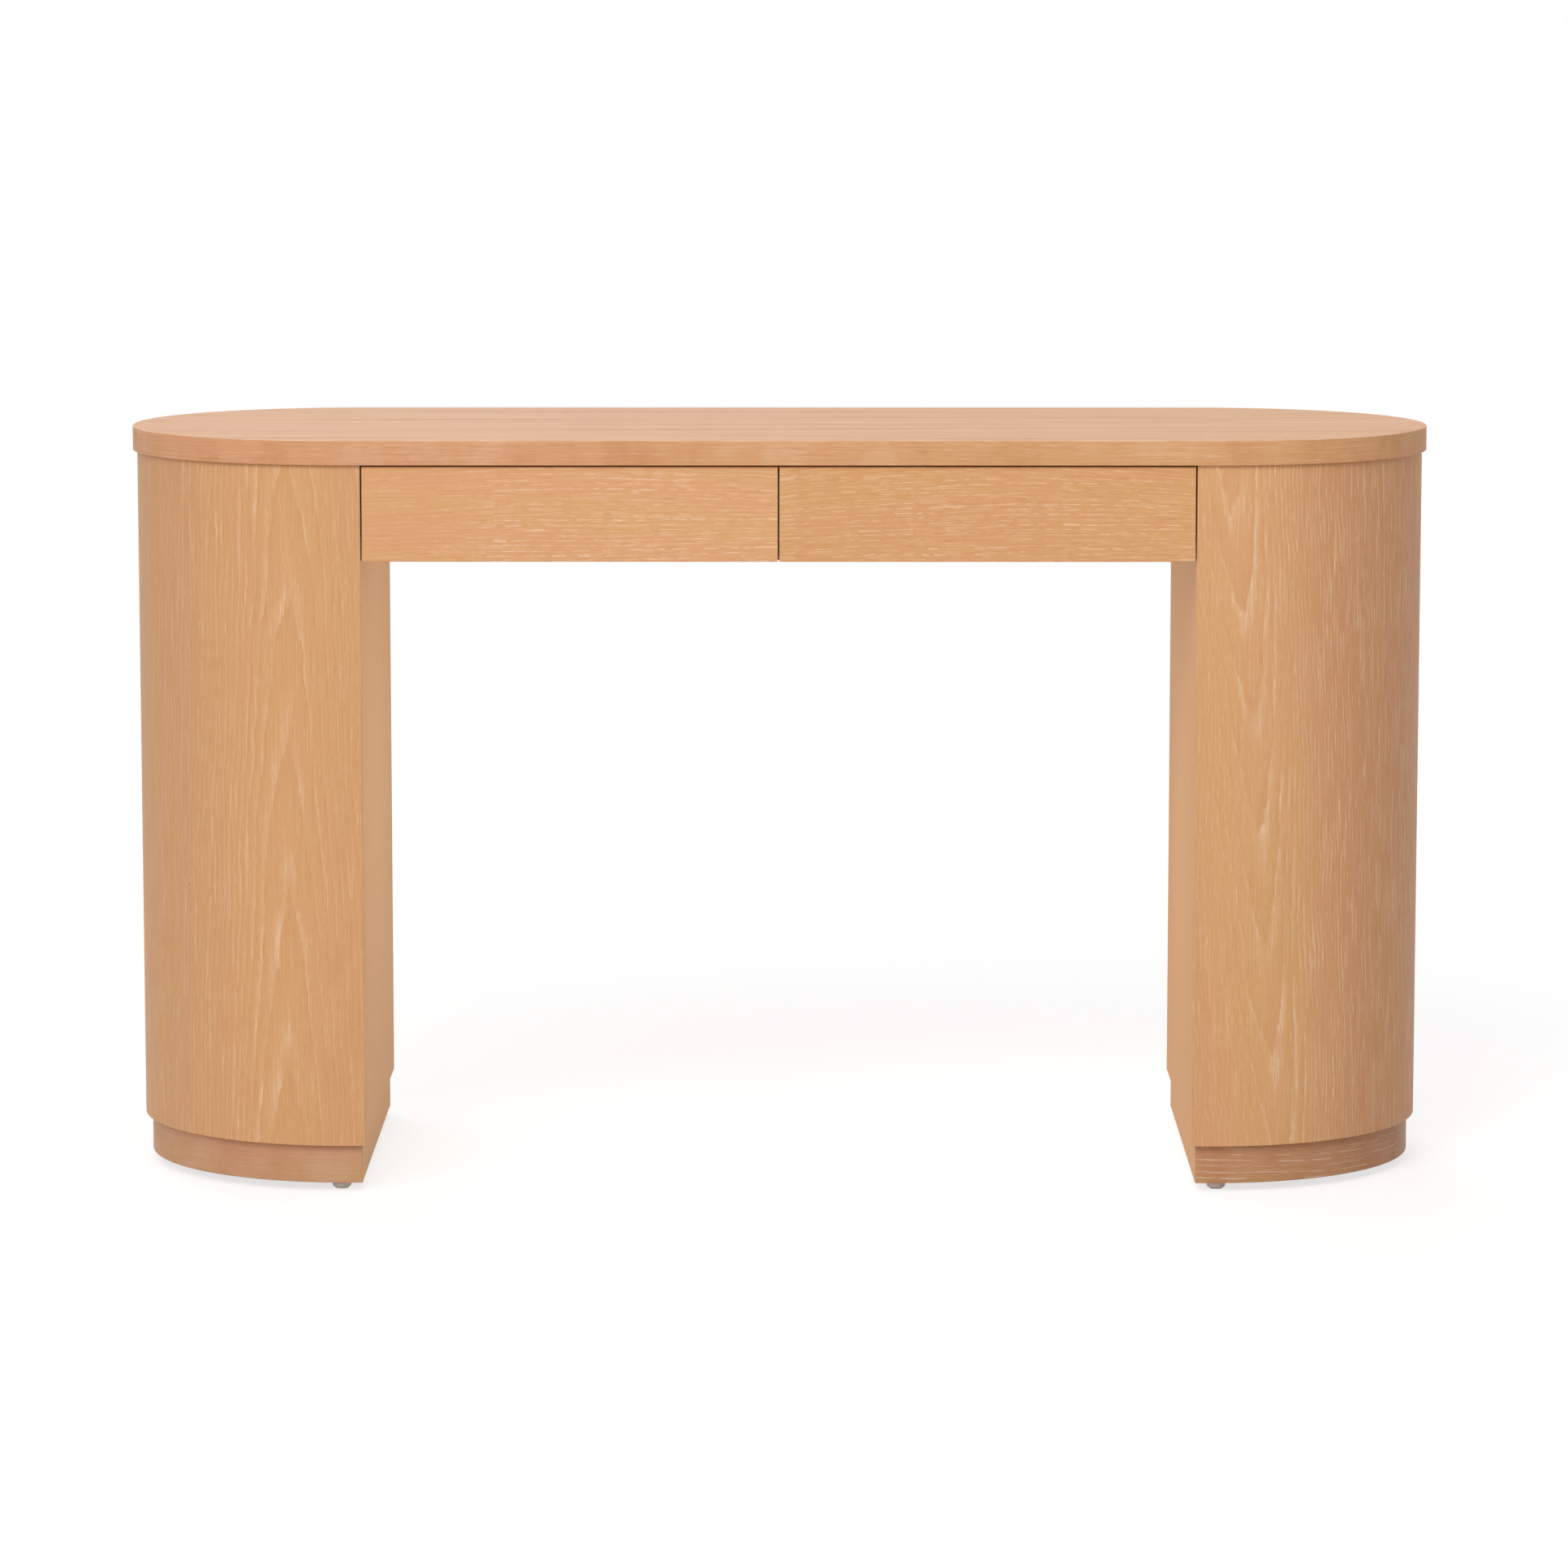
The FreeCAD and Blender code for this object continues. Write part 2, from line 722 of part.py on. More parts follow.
def add_balls(cages, side, depth, level):
    """Puts two rows of balls into each cage: holes in the cage's lips, and the balls as spheres."""
    pitch = (cage_length - 2 * cell("ball_margin")) / (BALLS_IN_ROW - 1)
    first_y = rail_middle - cage_length / 2 + cell("ball_margin")
    places = [
        (face + way * depth, first_y + pitch * number)
        for face, way in slide_faces(side)
        for number in range(BALLS_IN_ROW)
    ]
    hole_radius = cell("ball_radius") + cell("ball_play")
    tall = 2 * cell("outer_rail_height")
    bore(cages, "Z", 1, rail_level - cell("outer_rail_height"), tall, places, hole_radius)
    label = cages.Label
    cages.Label = f"{label}_strips"
    pieces = [cages]
    for x, y in places:
        for sign in (-1, 1):
            ball = doc.addObject("Part::Sphere", "ball")
            ball.setExpression("Radius", cell("ball_radius").text)
            for name, size in zip("xyz", (x, y, rail_level + sign * level)):
                ball.setExpression(f".Placement.Base.{name}", size.text)
            pieces.append(ball)
    group = doc.addObject("Part::Compound", "cages_with_balls")
    group.Links = pieces
    group.Label = label
    nodes[label] = group


def make_slides(name, side):
    """Both slides of one drawer: three nested rails, and two ball cages between them."""
    carcass = slide_faces(side)
    drawer = drawer_faces(side)
    sections = {
        "outer": (carcass, ZERO, cell("outer_rail_lip"), outer_half),
        "middle": (carcass, middle_depth, cell("middle_rail_lip"), middle_half),
        "inner": (drawer, ZERO, cell("inner_rail_lip"), inner_half),
    }
    rails = {
        rail: channel_pair(f"{name}_drawer_{rail}_rails", *section, rail_steel, rail_length)
        for rail, section in sections.items()
    }
    for rail, faces in (("outer", carcass), ("inner", drawer)):
        for face, way in faces:
            bore(rails[rail], "X", way, face, rail_steel, rail_screw_places, pilot_radius)

    steel = cell("cage_steel")
    rows = {
        "outer": (outer_cage_depth, outer_ball_level),
        "inner": (inner_cage_depth, inner_ball_level),
    }
    for row, (depth, level) in rows.items():
        label = f"{name}_drawer_{row}_ball_cages"
        cages = channel_pair(label, carcass, depth, cell("cage_lip"), level + steel / 2, steel, cage_length)
        add_balls(cages, side, depth + cell("ball_inset"), level)


def make_outer_rail_screws():
    """The screws that hold the outer rails to the inner panels and the divider."""
    screws = new_body("outer_rail_screws")
    length = rail_steel + cell("rail_screw_bite")
    for side in (-1, 1):
        for face, way in slide_faces(side):
            for y, level in rail_screw_places:
                turn(screws, "X", -way, (face + way * rail_steel, y, level), pan_screw_profile(length))


def make_drawer(name, side):
    """One drawer: a veneered front screwed to a four-sided box with a grooved-in bottom."""
    near = half_board + slide_space
    far = knee_half - slide_space
    y_front = -bay_front
    y_rear = y_front + box_length

    reveal = cell("reveal")
    front_outline = rectangle(side * reveal / 2, side * (knee_half - reveal), -body_radius, y_front)
    front = prism(f"{name}_drawer_front", front_outline, front_low, front_high)

    inner_near = near + box_wall
    inner_far = far - box_wall
    near_wall = (near, inner_near)
    far_wall = (inner_far, far)
    walls = {"left": near_wall, "right": far_wall} if side > 0 else {"left": far_wall, "right": near_wall}
    groove_low = box_low + cell("bottom_rise")
    groove_height = cell("bottom_thickness") + 2 * cell("groove_play")
    groove_depth = cell("groove_depth")
    groove_near = inner_near - groove_depth
    groove_far = inner_far + groove_depth
    groove_front = y_front + box_wall - groove_depth
    groove_rear = y_rear - box_wall + groove_depth
    groove = rectangle(side * groove_near, side * groove_far, groove_front, groove_rear)

    boards = {}
    for hand, (x_one, x_two) in walls.items():
        outline = rectangle(side * x_one, side * x_two, y_front, y_rear)
        boards[f"{hand}_side"] = prism(f"{name}_drawer_{hand}_side", outline, box_low, box_high)
    ends = {"box_front": (y_front, y_front + box_wall), "box_back": (y_rear - box_wall, y_rear)}
    for label, (y_one, y_two) in ends.items():
        outline = rectangle(side * inner_near, side * inner_far, y_one, y_two)
        boards[label] = prism(f"{name}_drawer_{label}", outline, box_low, box_high)
    for board in boards.values():
        sketch = sketch_across(board, "Z", groove_low)
        add_outline(sketch, groove)
        extrude(board, sketch, groove_height, "Pocket")

    play = cell("groove_play")
    x_one = side * (groove_near + play)
    x_two = side * (groove_far - play)
    bottom_outline = rectangle(x_one, x_two, groove_front + play, groove_rear - play)
    bottom_low = groove_low + play
    prism(f"{name}_drawer_bottom", bottom_outline, bottom_low, bottom_low + cell("bottom_thickness"))

    rail_screws = new_body(f"{name}_drawer_rail_screws")
    length = rail_steel + cell("rail_screw_bite")
    for face, way in drawer_faces(side):
        board = boards["left_side" if way < 0 else "right_side"]
        depth = cell("rail_screw_bite") + hole_spare
        bore(board, "X", -way, face, depth, rail_screw_places, pilot_radius)
        for y, level in rail_screw_places:
            turn(rail_screws, "X", -way, (face + way * rail_steel, y, level), pan_screw_profile(length))

    front_screws = new_body(f"{name}_drawer_front_screws")
    screw_length = box_wall + cell("front_screw_bite")
    screw_levels = (rail_level - inner_half, rail_level + inner_half)
    inset = cell("front_screw_inset")
    screw_xs = (side * (inner_near + inset), side * (inner_far - inset))
    screw_places = [(x, level) for x in screw_xs for level in screw_levels]
    for x, level in screw_places:
        place = (x, y_front + box_wall, level)
        turn(front_screws, "Y", -1, place, screw_profile(screw_length))
        turn(boards["box_front"], "Y", -1, place, screw_profile(screw_length, screw_play), "Groove")
    bore(front, "Y", -1, y_front, cell("front_screw_bite") + hole_spare, screw_places, pilot_radius)
    ease_faces(front, cell("front_round"), [FRONT])


def check_and_export():
    """Stops on any object that failed, then writes each piece to a file named after it."""
    doc.recompute()
    failed = [item.Label for item in doc.Objects if {"Invalid", "Error"} & set(item.State)]
    if failed:
        raise RuntimeError(f"these objects failed to compute: {failed}")
    for item in doc.Objects:
        cuts = item.TypeId in ("PartDesign::Pocket", "PartDesign::Groove", "PartDesign::Fillet")
        if cuts and item.Shape.Volume >= item.BaseFeature.Shape.Volume:
            raise RuntimeError(f"{item.Label} takes nothing away")
    os.makedirs("parts", exist_ok=True)
    for label, item in nodes.items():
        shape = item.Shape
        if shape.isNull() or not shape.isValid() or not shape.Solids:
            raise RuntimeError(f"{label} has no valid shape")
    for label, item in nodes.items():
        shape = item.Shape
        shape.exportStep(f"parts/{label}.step")
        print(f"{label}: {len(shape.Solids)} solids, {shape.Volume / 1000:.1f} cm3")
    print(f"{len(nodes)} pieces")


make_desktop()
for side_name, side_sign in SIDES.items():
    make_pedestal(side_name, side_sign)
    make_plinth(side_name, side_sign)
make_bay()
make_frame_fixings()
make_outer_rail_screws()
for side_name, side_sign in SIDES.items():
    make_slides(side_name, side_sign)
    make_drawer(side_name, side_sign)
check_and_export()
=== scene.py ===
import math
from typing import NamedTuple

import bmesh
import bpy
import numpy as np
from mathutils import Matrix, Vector


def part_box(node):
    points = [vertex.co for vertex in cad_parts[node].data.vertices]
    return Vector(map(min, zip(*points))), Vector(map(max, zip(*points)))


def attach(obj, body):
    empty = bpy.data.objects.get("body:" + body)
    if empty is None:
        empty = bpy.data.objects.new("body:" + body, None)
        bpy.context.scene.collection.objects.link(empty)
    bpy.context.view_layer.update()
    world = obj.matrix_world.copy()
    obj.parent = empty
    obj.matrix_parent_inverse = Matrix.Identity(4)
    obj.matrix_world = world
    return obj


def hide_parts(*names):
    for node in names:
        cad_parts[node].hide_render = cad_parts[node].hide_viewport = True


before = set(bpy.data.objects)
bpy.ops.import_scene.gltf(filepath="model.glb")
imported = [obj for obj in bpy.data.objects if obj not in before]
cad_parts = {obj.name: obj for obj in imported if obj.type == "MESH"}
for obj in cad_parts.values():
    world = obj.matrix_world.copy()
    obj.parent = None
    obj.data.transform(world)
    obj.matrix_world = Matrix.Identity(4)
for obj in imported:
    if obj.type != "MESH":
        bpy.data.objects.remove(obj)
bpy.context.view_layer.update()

bl_info = {
    "name": "Oak Writing Desk",
    "version": (1, 0, 0),
    "blender": (4, 5, 0),
    "location": "3D View > Sidebar > Desk",
    "description": "Veneered surfaces and finishes of a writing desk with two drawers",
    "category": "Add Mesh",
}

MM = 0.001
SIDES = ("left", "right")
TOWARDS_KNEES = {"left": 1, "right": -1}
X, Y, Z = 0, 1, 2
GRAIN = "Grain"
WELD = 0.001 * MM
SHARP = math.radians(40)


def srgb(red, green, blue):
    """Linear colour of a screen colour given in steps of 255."""
    screen = np.array((red, green, blue)) / 255
    linear = np.where(screen > 0.04045, ((screen + 0.055) / 1.055) ** 2.4, screen / 12.92)
    return tuple(float(v) for v in linear)


# Settings that a user would change

def length_setting(name, description, default):
    """A length in metres."""
    return bpy.props.FloatProperty(
        name=name, description=description, default=default, min=0.0, precision=4, unit="LENGTH")


def colour_setting(name, description, *screen):
    """A linear colour, given as its screen colour."""
    return bpy.props.FloatVectorProperty(
        name=name, description=description, default=srgb(*screen), size=3, min=0.0, max=1.0, subtype="COLOR")


def amount_setting(name, description, default, most=1.0):
    """A plain amount from nought to most."""
    return bpy.props.FloatProperty(
        name=name, description=description, default=default, min=0.0, max=most, subtype="FACTOR")


class DeskSizes(bpy.types.PropertyGroup):
    """Small sizes of the veneered pieces. The large ones come from the frame."""

    top_ease: length_setting("Desktop ease", "Radius of the desktop's rounded edges", 1.0 * MM)
    front_ease: length_setting("Drawer front ease", "Radius of a drawer front's rounded edges", 1.0 * MM)
    knee_ease: length_setting("Knee corner ease", "Radius of a pedestal's upright corners", 0.8 * MM)
    lip_ease: length_setting("Lip ease", "Radius of the upper and lower edge of a bent wall", 0.5 * MM)
    panel_ease: length_setting("Panel ease", "Radius of the edges of a flat panel", 0.3 * MM)
    ease_steps: bpy.props.IntProperty(
        name="Ease steps", description="Facets of a rounded edge", default=5, min=2, max=12)
    bend_steps: bpy.props.IntProperty(
        name="Bend steps", description="Facets of a half-round end", default=144, min=24, max=512)


class DeskFinish(bpy.types.PropertyGroup):
    """Colours and gloss of the desk."""

    oak: colour_setting("Oak", "Smooth wood between the pores", 206, 156, 104)
    rosy: colour_setting("Rosy oak", "Pinkish clouds in the veneer", 208, 153, 109)
    pore: colour_setting("Pores", "Pale filled pores of the early wood", 229, 193, 157)
    late: colour_setting("Late wood", "Dense line at the end of a year's growth", 188, 132, 84)
    fleck: colour_setting("Flecks", "Rare small dark marks", 120, 78, 46)
    satin: amount_setting("Satin", "Roughness of the lacquer on the veneer", 0.5)
    ply: colour_setting("Birch ply", "Drawer boxes", 226, 200, 164)
    board: colour_setting("Raw board", "Stretchers, divider and the boards inside", 205, 172, 132)
    beech: colour_setting("Beech", "Dowels", 214, 176, 134)
    zinc: colour_setting("Zinc", "Drawer slides", 196, 198, 200)
    ball: colour_setting("Ball steel", "Balls and their cages", 214, 214, 216)
    screw: colour_setting("Screw zinc", "Screws", 196, 190, 172)
    nylon: colour_setting("Nylon", "Glides", 232, 226, 216)
    rubber: colour_setting("Rubber", "Drawer bumpers", 112, 110, 106)


class StudioSettings(bpy.types.PropertyGroup):
    """Camera and light."""

    lens: bpy.props.FloatProperty(
        name="Lens", description="Focal length on a sensor 36 mm wide", default=142.8, unit="CAMERA")
    eye: bpy.props.FloatVectorProperty(
        name="Eye", description="Place of the camera", default=(0.02496, -6.39444, 1.24798), size=3,
        subtype="TRANSLATION", unit="LENGTH")
    pitch: bpy.props.FloatProperty(
        name="Pitch", description="Tilt below the horizon", default=math.radians(7.664), subtype="ANGLE")
    yaw: bpy.props.FloatProperty(
        name="Yaw", description="Turn to the left", default=math.radians(0.182), subtype="ANGLE")
    key: amount_setting("Key light", "Light of the main lamp on a face square to it", 0.39, 4.0)
    back: amount_setting("Back light", "Light of the lamp behind on a face square to it", 0.3, 4.0)
    box: amount_setting("Box light", "Light of the near lamp in front on a face square to it", 0.25, 4.0)
    knee: amount_setting("Knee light", "Light of the knee space's lamps on the walls beside it", 0.25, 4.0)
    room: amount_setting("Room light", "Light of the pale room all round", 0.45, 4.0)


# Surfaces worked out as whole arrays

def quarter_round(radius, steps):
    """A rounded edge: how far each of its points lies in from the side (radius times one minus the sine
    of the angle) and down from the face (radius times one minus the cosine), from the face to the side."""
    angle = np.linspace(0, math.pi / 2, steps + 1)
    return radius * (1 - np.sin(angle)), radius * (1 - np.cos(angle))


def stations(low, high, ease, steps):
    """Places across a face with rounded edges: those of the rounding at each end, and one a radius
    further in, so that the flat between them shades flat."""
    inset, _ = quarter_round(ease, steps)
    near = np.append(inset[::-1], 2 * ease)
    return np.concatenate([low + near, high - near[::-1]])


def ease_depth(distance, radius):
    """How deep a rounded edge lies at a distance from the side: radius minus the height of a circle of
    that radius, and nothing further in than the radius."""
    reach = np.clip(1 - distance / radius, 0, 1)
    return radius * (1 - np.sqrt(1 - reach ** 2))


class Patch(NamedTuple):
    """A grid of points, the grain coordinates of each (across, along) and the number of its finish."""

    points: np.ndarray
    grain: np.ndarray
    finish: int = 0


def patch_quads(patch):
    """The quads of a grid: each joins a point, its neighbours in the next column and the next row, and
    the point across from it."""
    rows, columns = patch.points.shape[:2]
    first = np.arange(rows - 1)[:, None] * columns + np.arange(columns - 1)[None, :]
    return first.reshape(-1, 1) + np.array([0, 1, columns + 1, columns])


def add_object(name, data):
    """A new object in the scene."""
    thing = bpy.data.objects.new(name, data)
    bpy.context.scene.collection.objects.link(thing)
    return thing


def make_piece(name, patches, finishes, body, node):
    """Joins the patches at their common edges into one closed piece, gives it its finishes, and puts it
    in the place of a CAD node."""
    counts = np.array([patch.points.shape[0] * patch.points.shape[1] for patch in patches])
    starts = np.concatenate([[0], np.cumsum(counts)[:-1]])
    points = np.concatenate([patch.points.reshape(-1, 3) for patch in patches])
    grain = np.concatenate([patch.grain.reshape(-1, 2) for patch in patches])
    quads = [patch_quads(patch) for patch in patches]
    corners = np.concatenate([quad + start for quad, start in zip(quads, starts)])
    finish_numbers = np.concatenate([np.full(len(quad), patch.finish) for quad, patch in zip(quads, patches)])

    mesh = bpy.data.meshes.new(name)
    mesh.from_pydata(points.tolist(), [], corners.tolist())
    mesh.uv_layers.new(name=GRAIN).data.foreach_set("uv", grain[corners.ravel()].ravel())
    mesh.polygons.foreach_set("material_index", finish_numbers.astype(np.int32))
    for finish in finishes:
        mesh.materials.append(finish)

    shell = bmesh.new()
    shell.from_mesh(mesh)
    bmesh.ops.remove_doubles(shell, verts=shell.verts, dist=WELD)
    bmesh.ops.recalc_face_normals(shell, faces=shell.faces)
    shell.to_mesh(mesh)
    shell.free()
    mesh.polygons.foreach_set("use_smooth", np.ones(len(mesh.polygons), bool))
    mesh.set_sharp_from_angle(angle=SHARP)

    piece = add_object(name, mesh)
    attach(piece, body)
    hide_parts(node)


def span(node):
    """Lowest and highest corner of a CAD node."""
    low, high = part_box(node)
    return np.array(low), np.array(high)


def stadium_path(straight, radius, bend_steps):
    """The line round a board with half-round ends, from the middle of the back: feet on the board's
    middle line, outward directions, and lengths along the rim. A foot moves along the middle line while
    the direction holds still, then the direction turns half round while the foot holds still."""
    turn = np.linspace(0, math.pi, bend_steps + 1)
    angle = np.concatenate([[math.pi / 2], math.pi / 2 + turn, 3 * math.pi / 2 + turn, [math.pi * 5 / 2]])
    still = np.full(bend_steps + 1, straight)
    feet = np.concatenate([[0], -still, still, [0]])
    moved = np.abs(np.diff(feet)) + radius * np.diff(angle)
    return feet, np.stack([np.cos(angle), np.sin(angle)], -1), np.append(0, np.cumsum(moved))


def stadium_points(feet, directions, reach, height):
    """Points a reach out from the feet at a height, one row for each pair of reach and height."""
    flat = np.zeros((len(reach), len(feet), 3))
    flat[..., X] = feet[None, :] + reach[:, None] * directions[None, :, 0]
    flat[..., Y] = reach[:, None] * directions[None, :, 1]
    flat[..., Z] = height[:, None]
    return flat


def stadium_patches(low, high, ease, ease_steps, bend_steps):
    """A board with half-round ends: its face and underside are fans from the middle line to the rim, and
    the rim is the edge profile carried round the path."""
    radius = (high[Y] - low[Y]) / 2
    feet, directions, length = stadium_path((high[X] - low[X]) / 2 - radius, radius, bend_steps)
    inset, depth = quarter_round(ease, ease_steps)
    reach = radius - np.concatenate([inset, inset[::-1]])
    height = np.concatenate([high[Z] - depth, low[Z] + depth[::-1]])
    rim = stadium_points(feet, directions, reach, height)
    profile = np.append(0, np.cumsum(np.hypot(np.diff(reach), np.diff(height))))
    rim_grain = np.stack(np.broadcast_arrays(profile[:, None], length[None, :]), -1)
    patches = [Patch(rim, rim_grain, 1)]
    for level in (high[Z], low[Z]):
        fan_reach = np.array([0, radius / 2, radius - 2 * ease, radius - ease])
        fan = stadium_points(feet, directions, fan_reach, np.full(len(fan_reach), level))
        patches.append(Patch(fan, fan[..., [Y, X]], 0))
    return patches


def bent_wall_patches(low, high, wall, knee_ease, lip_ease, grain_along_bend, ease_steps, bend_steps):
    """A wall bent round a half circle with a short straight at each end. A point of it is the foot on the
    middle line plus its direction times its distance out; along the wall the foot moves over the first
    straight, holds still while the direction turns half round, and moves back over the last straight. The
    distance out is the outer radius less the rounding of the upright ends and of the lips."""
    side = math.copysign(1, low[X] + high[X])
    radius = (high[Y] - low[Y]) / 2
    knee, far = sorted(np.abs([low[X], high[X]]))
    straight = far - radius - knee
    whole = 2 * straight + math.pi * radius

    bend = np.linspace(straight, straight + math.pi * radius, bend_steps + 1)
    near = stations(0, straight, knee_ease, ease_steps)[:ease_steps + 2]
    length = np.concatenate([near, bend, whole - near[::-1]])
    turned = np.clip((length - straight) / radius, 0, math.pi)
    foot = knee + np.minimum(np.minimum(length, straight), whole - length)
    height = stations(low[Z], high[Z], lip_ease, ease_steps)
    end_round = ease_depth(np.minimum(length, whole - length), knee_ease)
    lip_round = ease_depth(np.minimum(height - low[Z], high[Z] - height), lip_ease)
    outer = radius - end_round[None, :] - lip_round[:, None]
    inner = np.full_like(outer, radius - wall)

    def points(distance):
        """The grid of points this far out from their feet."""
        grid = np.empty(distance.shape + (3,))
        grid[..., X] = side * (foot + distance * np.sin(turned))
        grid[..., Y] = -distance * np.cos(turned)
        grid[..., Z] = height[:, None]
        return grid

    def grain(distance):
        """Lengths along the bend and up the wall, which run on round the edges."""
        over = radius - distance
        along_bend = length[None, :] + 0 * distance
        up = height[:, None] + 0 * distance
        up = up + np.where(up > (low[Z] + high[Z]) / 2, over, -over)
        return np.stack([up, along_bend] if grain_along_bend else [along_bend, up], -1)

    faces = [points(outer), points(inner)]
    grains = [grain(outer), grain(inner)]
    patches = [Patch(face, map_) for face, map_ in zip(faces, grains)]
    for row in (0, -1):
        patches.append(Patch(np.stack([f[row] for f in faces]), np.stack([g[row] for g in grains])))
    for column in (0, -1):
        edge = np.stack([f[:, column] for f in faces])
        edge_grain = np.stack([g[:, column] for g in grains])
        edge_grain[1] = edge_grain[0]
        edge_grain[1, :, 1 if grain_along_bend else 0] -= wall
        patches.append(Patch(edge, edge_grain, 1))
    return patches


def slab_patches(low, high, face, outward, along, ease, ease_steps):
    """A flat board: its face is a height field over a rectangle, whose depth is the rounding at the
    distance to the nearest edge, its back is flat, and four walls join them. The grain runs along one
    axis, and coordinates run on round the edges."""
    across = 3 - face - along
    over_across = stations(low[across], high[across], ease, ease_steps)
    over_along = stations(low[along], high[along], ease, ease_steps)
    c, a = np.meshgrid(over_across, over_along, indexing="ij")
    nearest = np.minimum.reduce([c - low[across], high[across] - c, a - low[along], high[along] - a])
    front_level = high[face] if outward > 0 else low[face]
    back_level = low[face] if outward > 0 else high[face]

    def points(level):
        """The grid of points at a level, or at a level for each."""
        grid = np.empty(c.shape + (3,))
        grid[..., across], grid[..., along], grid[..., face] = c, a, level
        return grid

    front = points(front_level - outward * ease_depth(nearest, ease))
    back = points(back_level)
    flat_grain = np.stack([c, a], -1)
    patches = [Patch(front, flat_grain), Patch(back, flat_grain)]
    thick = high[face] - low[face]
    ends = ((0, -thick), (-1, thick))
    walls = [(np.s_[end], (shift, 0)) for end, shift in ends]
    walls += [(np.s_[:, end], (0, shift)) for end, shift in ends]
    for line, shift in walls:
        grain = np.stack([flat_grain[line], flat_grain[line] + np.array(shift)])
        patches.append(Patch(np.stack([front[line], back[line]]), grain))
    return patches


# Node trees written as sums

class Signal:
    """A value in a material's node tree. Arithmetic on signals adds the math nodes for it."""

    def __init__(self, tree, socket):
        self.tree = tree
        self.socket = socket

    def feed(self, place):
        """Links this value into a socket."""
        self.tree.links.new(self.socket, place)

    def math(self, operation, *others, clamp=False):
        """The result of a math node on this value and others."""
        node = self.tree.nodes.new("ShaderNodeMath")
        node.operation = operation
        node.use_clamp = clamp
        for place, value in zip(node.inputs, (self, *others)):
            set_or_link(place, value)
        return Signal(self.tree, node.outputs["Value"])

    def __add__(self, other):
        return self.math("ADD", other)

    def __mul__(self, other):
        return self.math("MULTIPLY", other)

    def __truediv__(self, other):
        return self.math("DIVIDE", other)

    def rise(self, low, high):
        """A smooth step from nought at low to one at high."""
        node = self.tree.nodes.new("ShaderNodeMapRange")
        node.interpolation_type = "SMOOTHSTEP"
        set_or_link(node.inputs["Value"], self)
        set_or_link(node.inputs["From Min"], low)
        set_or_link(node.inputs["From Max"], high)
        return Signal(self.tree, node.outputs["Result"])

    def partly(self, part):
        """One where this is one, and less by the part where it is nought."""
        return self * part + (1 - part)

    def peak(self, middle, reach):
        """One at the middle, falling evenly to nought at the reach either side."""
        return ((self + -middle).math("ABSOLUTE") / -reach + 1.0).math("MAXIMUM", 0.0)


def set_or_link(place, value):
    """Links a signal into a socket, or sets a plain value on it."""
    if isinstance(value, Signal):
        value.feed(place)
    else:
        place.default_value = value


def vector(tree, *values):
    """A vector of three values, plain or signals."""
    node = tree.nodes.new("ShaderNodeCombineXYZ")
    for place, value in zip(node.inputs, values):
        set_or_link(place, value)
    return node.outputs["Vector"]


def noise(tree, x, y, z=0.0, detail=0.0, roughness=0.5):
    """Smooth noise about one half, over a point whose coordinates are given already scaled."""
    node = tree.nodes.new("ShaderNodeTexNoise")
    node.inputs["Scale"].default_value = 1.0
    node.inputs["Detail"].default_value = detail
    node.inputs["Roughness"].default_value = roughness
    tree.links.new(vector(tree, x, y, z), node.inputs["Vector"])
    return Signal(tree, node.outputs["Fac"])


def blended(tree, amount, first, second, mode="MIX"):
    """The first colour, turning into the second as the amount goes from nought to one, or into its
    product with the second where the mode is MULTIPLY."""
    node = tree.nodes.new("ShaderNodeMix")
    node.data_type = "RGBA"
    node.blend_type = mode
    set_or_link(node.inputs["Factor"], amount)
    for place, colour in zip((s for s in node.inputs if s.type == "RGBA"), (first, second)):
        set_or_link(place, colour if isinstance(colour, Signal) else (*colour, 1.0))
    return Signal(tree, next(s for s in node.outputs if s.type == "RGBA"))


def existing(tree, kind):
    """The node of a kind that a new tree already holds."""
    return next(node for node in tree.nodes if node.type == kind)


def new_material(name):
    """A new material, its node tree and its principled shader."""
    material = bpy.data.materials.new(name)
    material.use_nodes = True
    return material, material.node_tree, existing(material.node_tree, "BSDF_PRINCIPLED")


def relief(tree, shader, height, depth):
    """Raises and sinks the surface by a signal of nought to one times a depth."""
    bump = tree.nodes.new("ShaderNodeBump")
    bump.inputs["Distance"].default_value = depth
    bump.inputs["Strength"].default_value = 1.0
    height.feed(bump.inputs["Height"])
    tree.links.new(bump.outputs["Normal"], shader.inputs["Normal"])


def split(tree, vector_socket):
    """The three coordinates of a vector as signals."""
    parts = tree.nodes.new("ShaderNodeSeparateXYZ")
    tree.links.new(vector_socket, parts.inputs["Vector"])
    return [Signal(tree, parts.outputs[axis]) for axis in "XYZ"]


def grain_coordinates(tree):
    """How far a point lies across and along the grain, in metres, from the piece's own map."""
    node = tree.nodes.new("ShaderNodeUVMap")
    node.uv_map = GRAIN
    return split(tree, node.outputs["UV"])[:2]


def object_coordinates(tree):
    """A point's own X, Y and Z in metres."""
    return split(tree, tree.nodes.new("ShaderNodeTexCoord").outputs["Object"])


# Oak veneer

class Figure(NamedTuple):
    """One noise of the veneer: its cells in a metre across and along the grain, which draw of it this is,
    its finer layers, and how strong each is beside the last."""

    wide: float
    long: float
    draw: float
    detail: float = 2.0
    roughness: float = 0.5


